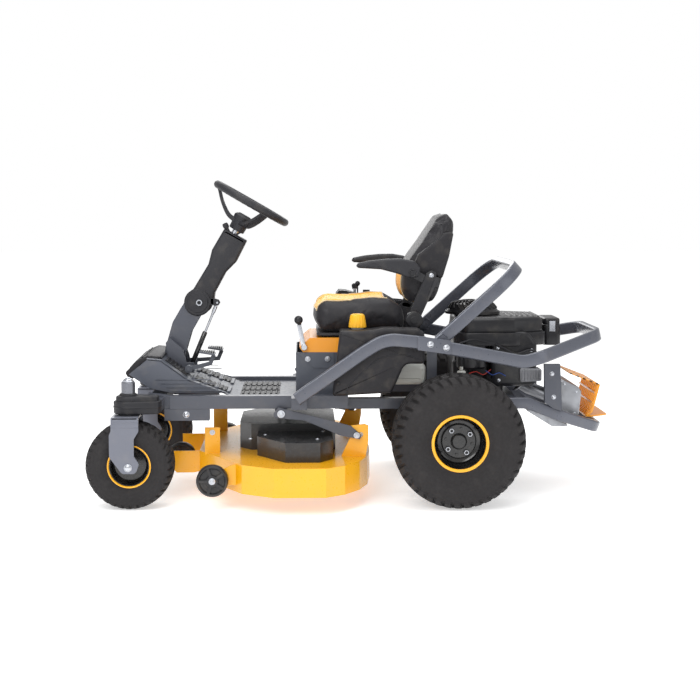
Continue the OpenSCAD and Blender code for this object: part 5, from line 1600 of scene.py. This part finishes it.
@dataclass
class Engine:
    """Twin-cylinder engine: blower housing, screen, air cleaner, silencer, guard and wiring."""

    crank: Point = (-491, 0)
    plan: tuple[Point, ...] = ((-400, -150), (-440, -225), (-640, -225), (-770, -150), (-770, 150),
                               (-640, 225), (-440, 225), (-400, 150))

    def build(self) -> None:
        """Makes the covers and dresses the castings."""
        dress("engine_block", Paint.ENGINE)
        base = fillet(list(self.plan), 34, 6)
        skirt = slab(base, 592, 644, "z", crown=5)
        hood = slab(inset(base, 12), 632, 704, "z", crown=20)
        shoulders = [slab(fillet([(-540, 700), (-420, 700), (-408, 640), (-408, 600), (-560, 600)], 14, 4),
                          y, y + 26, crown=8)
                     for y in (150, -176)]
        ribs = [block((-748 + 22 * i, -120, 700), (-740 + 22 * i, 120, 706)) for i in range(6)]
        piece("Blower housing", union([skirt, hood, *shoulders, *ribs]), Polymer.GLOSS, "chassis",
              ("blower_housing",))
        self.screen()
        self.cylinders()
        box = fillet([(-842, -95), (-770, -95), (-770, 95), (-842, 95)], 20, 6)
        lid = slab(inset(box, 3), 664, 694, "z", crown=9)
        piece("Air cleaner", slab(box, 584, 668, "z", crown=5) + lid, Polymer.GLOSS, "chassis",
              ("air_cleaner",))
        clips = [block((-818, s * 95 - 3, 640), (-794, s * 95 + 3, 682)) for s in (1, -1)]
        piece("Air cleaner clips", union(clips), Metal.ZINC, "chassis", bevel=1.0)
        self.silencer()
        self.guard()
        self.wiring()

    def screen(self) -> None:
        """Turning screen: the dome stays, with curled fins on it and a hub in its middle."""
        dress("fan_screen", Polymer.FAN)
        x, y = self.crank
        t = np.linspace(0, 1, 12)
        radius, angle = 26 + 74 * t, 0.9 * t
        top = np.interp(radius, [0, 40, 82, 108], [757, 757, 748, 719]) + 3
        lane = np.stack([x + radius * np.cos(angle), y + radius * np.sin(angle), top], 1)
        fin = sweep(lane, rounded_rect(2.6, 9, 1, 2), (0, 0, 1))
        fins = union([fin.turned((0, 0, 1), 360 * i / 22, (x, y, 0)) for i in range(22)])
        hub = disc((x, y, 755), (0, 0, 1), 27, 6, 2.5, 48)
        piece("Screen fins", fins + hub, Polymer.FAN, "fan")

    def cylinders(self) -> None:
        """Shrouds and bright heads of both cylinders, the filter, the starter and small bolts."""
        parts, heads, screws = [], [], []
        for s in (1, -1):
            shroud = slab(fillet([(-727, 430), (-727, 600), (-690, 650), (-560, 650), (-547, 620),
                                  (-547, 430)], [30, 20, 40, 30, 20, 20], 5),
                          *sorted((s * 96.0, s * 214.0)), crown=16)
            parts.append(shroud)
            heads.append(slab(fillet([(-745, 452), (-745, 501), (-657, 505), (-657, 449)], 8, 3),
                              *sorted((s * 150.0, s * 226.0)), crown=4))
            heads += [block((-741 + 12 * i, min(s * 226, s * 234), 456),
                            (-737 + 12 * i, max(s * 226, s * 234), 498)) for i in range(7)]
            screws += [dome_head((x, s * 214, z), (0, s, 0), 6, 5) for x, z in
                       ((-705, 575), (-570, 585), (-575, 455), (-640, 625), (-700, 520))]
        barrel = disc((-430, 150, 400), (0, 0, 1), 36, 130, 6,
                      48) + disc((-430, 150, 528), (0, 0, 1), 20, 16, 3, 40)
        canister = disc((-560, 150, 396), (0, 0, 1), 39, 80, 8, 48)
        cowl = slab(fillet([(-540, 400), (-540, 592), (-410, 592), (-404, 560), (-404, 400)], 14, 4), -150,
                    150, crown=8)
        cans = [disc((x, s * 196, 500), (0, 0, 1), r, 100, 8, 48) for x,
                r in ((-452, 44), (-500, 26)) for s in (1, -1)]
        piece("Cylinder shrouds", union([*parts, barrel, canister, cowl, *cans]), Polymer.GLOSS, "chassis")
        piece("Cylinder heads", union(heads), Metal.CAST, "chassis", bevel=0.8)
        piece("Engine screws", union(screws), Metal.ZINC, "chassis")

    def silencer(self) -> None:
        """Shield box, two bent pipes and the pan, with stamped beads and screws."""
        side = fillet([(-826, 446), (-838, 452), (-900, 424), (-912, 404), (-902, 302), (-826, 300)],
                      [6, 8, 12, 12, 14, 8], 4)
        shell = slab(side, -190, 190, crown=5)
        pan = [slab(fillet([(-700, 322), (-700, 333), (-862, 268), (-862, 259), (-800, 260)], 3, 3),
                    *sorted((s * 60.0, s * 156.0)), crown=1.5)
               for s in (1, -1)]
        beads = [slab(fillet([(-905 + 4, 330 + 30 * i), (-898, 334 + 30 * i), (-898, 340 + 30 * i),
                              (-905 + 2, 344 + 30 * i)], 1, 2), -150, 150)
                 for i in range(3)]
        piece("Silencer shield", union([shell, *pan, *beads]), Metal.SHIELD, "chassis", ("muffler",))
        pipes = [rod([(-664, s * 150, 432), (-700, s * 156, 410), (-832, s * 176, 356)], 17, 30, 24)
                 for s in (1, -1)]
        flanges = [disc((-664, s * 150, 428), (-0.4, 0, -0.5), 26, 8, 2, 32) for s in (1, -1)]
        piece("Exhaust pipes", union(pipes + flanges), Metal.SHIELD, "chassis")
        screws = [dome_head((x, s * 190, z), (0, s, 0), 5, 4) for s in (1, -1) for x,
                  z in ((-842, 436), (-890, 405), (-884, 318), (-838, 316))]
        piece("Shield screws", union(screws), Metal.ZINC, "chassis")

    def guard(self) -> None:
        """Orange guard: slotted top sheet, curved bars, and a plate below."""
        a, b = np.array([-866.0, 478]), np.array([-984.0, 432])
        way = unit(b - a)
        up = np.array([-way[1], way[0]])
        length = float(np.linalg.norm(b - a))

        def strip(start: float, end: float, low: float, high: float) -> Solid:
            """Piece of the top sheet between two distances down it and two values of y.

            Args:
                start: first distance down the sheet.
                end: last distance.
                low: first value of y.
                high: last value of y.

            Returns:
                The strip.
            """
            corners = [a + way * start - up * 2, a + way * end - up * 2, a + way * end + up * 2,
                       a + way * start + up * 2]
            return slab([tuple(c) for c in corners], low, high)

        across = [strip(length * t - 6, length * t + 6, -170, 170) for t in (0.05, 0.28, 0.51, 0.74, 0.95)]
        down = [strip(0, length, y - 6, y + 6) for y in np.linspace(-164, 164, 15)]
        bar = [(-984, 436), (-990, 430), (-962, 320), (-940, 300), (-934, 306), (-954, 324), (-980, 428)]
        line = fillet(bar, [3, 3, 14, 3, 3, 12, 3], 4)
        bars = [slab(line, y - 4, y + 4, crown=1) for y in np.linspace(-166, 166, 11)]
        hoops = [block((-984 + 34 * t, -170, 432 - 126 * t), (-978 + 34 * t, 170, 440 - 126 * t))
                 for t in (0.3, 0.62)]
        foot = slab(fillet([(-1030, -120), (-1030, 120), (-960, 170), (-934, 170), (-934, -170),
                            (-960, -170)], 24, 5), 300, 306, "z", crown=1.5)
        piece("Exhaust guard", union([*across, *down, *bars, *hoops, foot]), Paint.ORANGE, "chassis",
              ("exhaust_guard",))

    def wiring(self) -> None:
        """Fuel pump, hoses and wires beside the engine."""
        pump = disc((-421, 250, 468), (0, 0, 1), 17, 30, 4,
                    40) + disc((-421, 250, 498), (0, 0, 1), 7, 16, 1.5)
        piece("Fuel pump", pump, Polymer.TANK, "chassis")
        hoses = [rod([(-421, 250, 512), (-421, 248, 560), (-400, 230, 600), (-470, 222, 620),
                      (-560, 222, 600)], 4.2, 30),
                 rod([(-421, 250, 470), (-400, 250, 440), (-330, 230, 430), (-300, 200, 450)], 4.2, 24),
                 rod([(-560, 226, 600), (-640, 230, 560), (-700, 228, 580), (-735, 210, 560)], 4.2, 30)]
        piece("Hoses", union(hoses), Polymer.BLACK, "chassis")
        piece("Red wire",
              rod([(-452, 244, 486), (-480, 240, 494), (-510, 238, 478), (-540, 232, 500)], 1.5, 14, 8),
              Polymer.RED, "chassis")
        piece("Blue wire",
              rod([(-520, 238, 496), (-545, 238, 478), (-575, 232, 488), (-600, 226, 474)], 1.5, 14, 8),
              Polymer.BLUE, "chassis")


# ---- drive and deck --------------------------------------------------------------------------


@dataclass
class Drive:
    """Transaxles below the engine, and the bolts on their cases."""

    def build(self) -> None:
        """Dresses the castings and adds their bolts."""
        dress("transaxles", Metal.CAST)
        low, high = node_box("transaxles")
        x, z = float(low[0] + high[0]) / 2 - 20, float(low[2] + high[2]) / 2
        bolts = [hex_head((x + 62 * math.cos(t), 250, z + 60 * math.sin(t)), (0, 1, 0), 7, 6)
                 for t in np.linspace(0, TAU, 7)[:-1]]
        piece("Transaxle bolts", union(bolts).both(), Metal.ZINC, "chassis")


@dataclass
class Deck:
    """Cutting deck: pressed shell, belt cover, lift arms, blades, guide wheels and deflector."""

    cover_bolts: tuple[Point, ...] = ((353, 308), (126, 230), (408, 413), (150, 430))
    guides: tuple[tuple[str, float, float, float], ...] = (
        ("guide_wheel_left", 547, 548, 118), ("guide_wheel_right", 547, -548, 118),
                                                           ("guide_wheel_front", 706, 0, 118))

    def build(self) -> None:
        """Dresses the pressings, and makes the wheels and the fasteners."""
        dress("deck_shell", Paint.DECK)
        dress("belt_cover", Paint.COVER)
        dress("lift_arms", Paint.FRAME)
        dress("deflector", Polymer.CONTROL)
        for node in ("blade_left", "blade_centre", "blade_right"):
            dress(node, Metal.BLADE)
        heads = [dome_head((x, y, 255), (0, 0, 1), 8, 5) for x, y in self.cover_bolts]
        piece("Cover bolts", union(heads).both(), Metal.ZINC, "deck")
        pins = [disc((-2, 377, 264), (0, 1, 0), 7, 20, 1.5), hex_head((-2, 394.5, 264), (0, 1, 0), 9, 8)]
        piece("Lift pins", union(pins).both(), Metal.ZINC, "lift_arms")
        shaft = [hex_head((290, 394.5, 348), (0, 1, 0), 11, 8)]
        piece("Lift shaft bolts", union(shaft).both(), Metal.ZINC, "lift_arms")
        studs = [hex_head((561, 291, 262), (0, 1, 0), 8, 7)]
        piece("Deck bolts", union(studs).both(), Metal.ZINC, "deck")
        for name, x, y, z in self.guides:
            self.guide(name, x, y, z)

    def guide(self, name: str, x: float, y: float, z: float) -> None:
        """Small solid wheel with five recesses on each face, and its bolt.

        Args:
            name: name of the body and of its CAD node.
            x: place of the axle along the machine.
            y: middle of the wheel.
            z: height of the axle.
        """
        rows = [(0, -20), (20, -20), (22, -19), (24, -12), (46, -12), (49, -20), (52, -22), (56, -21),
                (60, -15), (60, 15), (56, 21), (52, 22), (49, 20), (46, 12), (24, 12), (22, 19), (20, 20),
                (0, 20)]
        core = lathe(rows, (x, y, z), (0, 1, 0), 72)
        rib = block((x + 20, y - 20, z - 5), (x + 49, y + 20, z + 5))
        ribs = union([rib.turned((0, 1, 0), 72 * i, (x, y, z)) for i in range(5)])
        piece(name.replace("_", " ").capitalize(), core + ribs, Polymer.GUIDE, name, (name,))
        side = 1 if y >= 0 else -1
        face = y + side * 19
        hub = (disc((x, face, z), (0, side, 0), 13, 4, 1.5, 40)
               + hex_head((x, face + side * 3, z), (0, side, 0), 8, 7))
        piece(f"{name.replace('_', ' ').capitalize()} bolt", hub, Metal.ZINC, "deck")


# ---- light, floor and camera -----------------------------------------------------------------


@dataclass
class Studio:
    """Pale floor, soft lights and a camera at the machine's left."""

    target: Point = (12, 0, 557)
    eye: Point = (197, 6090, 1153)
    focal: float = 76.6

    def lamp(self, name: str, at: Point, size: float, watts: float, aim: Point = (0, 0, 450)) -> None:
        """Adds a square soft light that faces a point.

        Args:
            name: name of the lamp.
            at: place in millimetres.
            size: side of the square in millimetres.
            watts: power.
            aim: the point it faces.
        """
        data = bpy.data.lights.new(name, "AREA")
        data.shape, data.size, data.energy = "SQUARE", size * MM, watts
        made = bpy.data.objects.new(name, data)
        made.location = [c * MM for c in at]
        made.rotation_euler = Vector([(b - a) for a,
                                         b in zip(at, aim)]).to_track_quat("-Z", "Y").to_euler()
        bpy.context.scene.collection.objects.link(made)

    def build(self) -> None:
        """Makes the floor, the lights, the sky and the camera."""
        half = 30000
        mesh = bpy.data.meshes.new("studio_floor")
        mesh.from_pydata([(x * half * MM, y * half * MM, 0) for x,
                          y in ((-1, -1), (1, -1), (1, 1), (-1, 1))], [], [(0, 1, 2, 3)])
        floor = bpy.data.objects.new("studio_floor", mesh)
        bpy.context.scene.collection.objects.link(floor)
        paint = Finish("Studio floor paint", "#fbfbfb", "#f8f8f8", rough=0.8, dust=0.0, grain_depth=0.0,
                       specular=0.0).material()
        glow = next(n for n in paint.node_tree.nodes if n.type == "BSDF_PRINCIPLED")
        glow.inputs["Emission Color"].default_value = (1.0, 1.0, 1.0, 1.0)
        glow.inputs["Emission Strength"].default_value = 0.47
        mesh.materials.append(paint)
        self.lamp("Key light", (1800, 4200, 3400), 2600, 116)
        self.lamp("Top light", (-200, 300, 4200), 3600, 94)
        self.lamp("Fill light", (-3600, 2600, 1800), 2600, 20)
        self.lamp("Back light", (400, -4200, 2600), 3000, 60)
        world = bpy.data.worlds.new("Studio")
        world.use_nodes = True
        tree = world.node_tree
        back = tree.nodes["Background"]
        back.inputs[0].default_value = (1.0, 1.0, 1.0, 1.0)
        # The sky is seen white, and lights the machine a little less than that
        path = tree.nodes.new("ShaderNodeLightPath")
        level = tree.nodes.new("ShaderNodeMapRange")
        level.inputs["To Min"].default_value, level.inputs["To Max"].default_value = 0.57, 1.0
        tree.links.new(path.outputs["Is Camera Ray"], level.inputs["Value"])
        tree.links.new(level.outputs["Result"], back.inputs["Strength"])
        bpy.context.scene.world = world
        data = bpy.data.cameras.new("Camera")
        data.lens, data.sensor_width, data.clip_end = self.focal, 36, 100
        camera = bpy.data.objects.new("Camera", data)
        camera.location = [c * MM for c in self.eye]
        camera.rotation_euler = Vector([b - a for a,
                                           b in zip(self.eye,
                                                    self.target)]).to_track_quat("-Z", "Y").to_euler()
        bpy.context.scene.collection.objects.link(camera)
        bpy.context.scene.camera = camera
        bpy.context.scene.view_settings.view_transform = "Standard"


def main() -> None:
    """Builds every assembly, then the studio."""
    logging.basicConfig(level=logging.INFO, format="%(message)s")
    assemblies = [
        Chassis(), Floor(), Column(), Pedals(),
        *(RearWheel(s, "rear", 40, 12, 101.6, 14) for s in Side),
        *(FrontWheel(s, "front", 34, 8, 76.2, 10) for s in Side),
        *(Fork(s) for s in Side),
        Seat(), Tubes(), Panels(), Engine(), Drive(), Deck(),
    ]
    for assembly in assemblies:
        assembly.build()
    Studio().build()


if __name__ == "__main__":
    main()
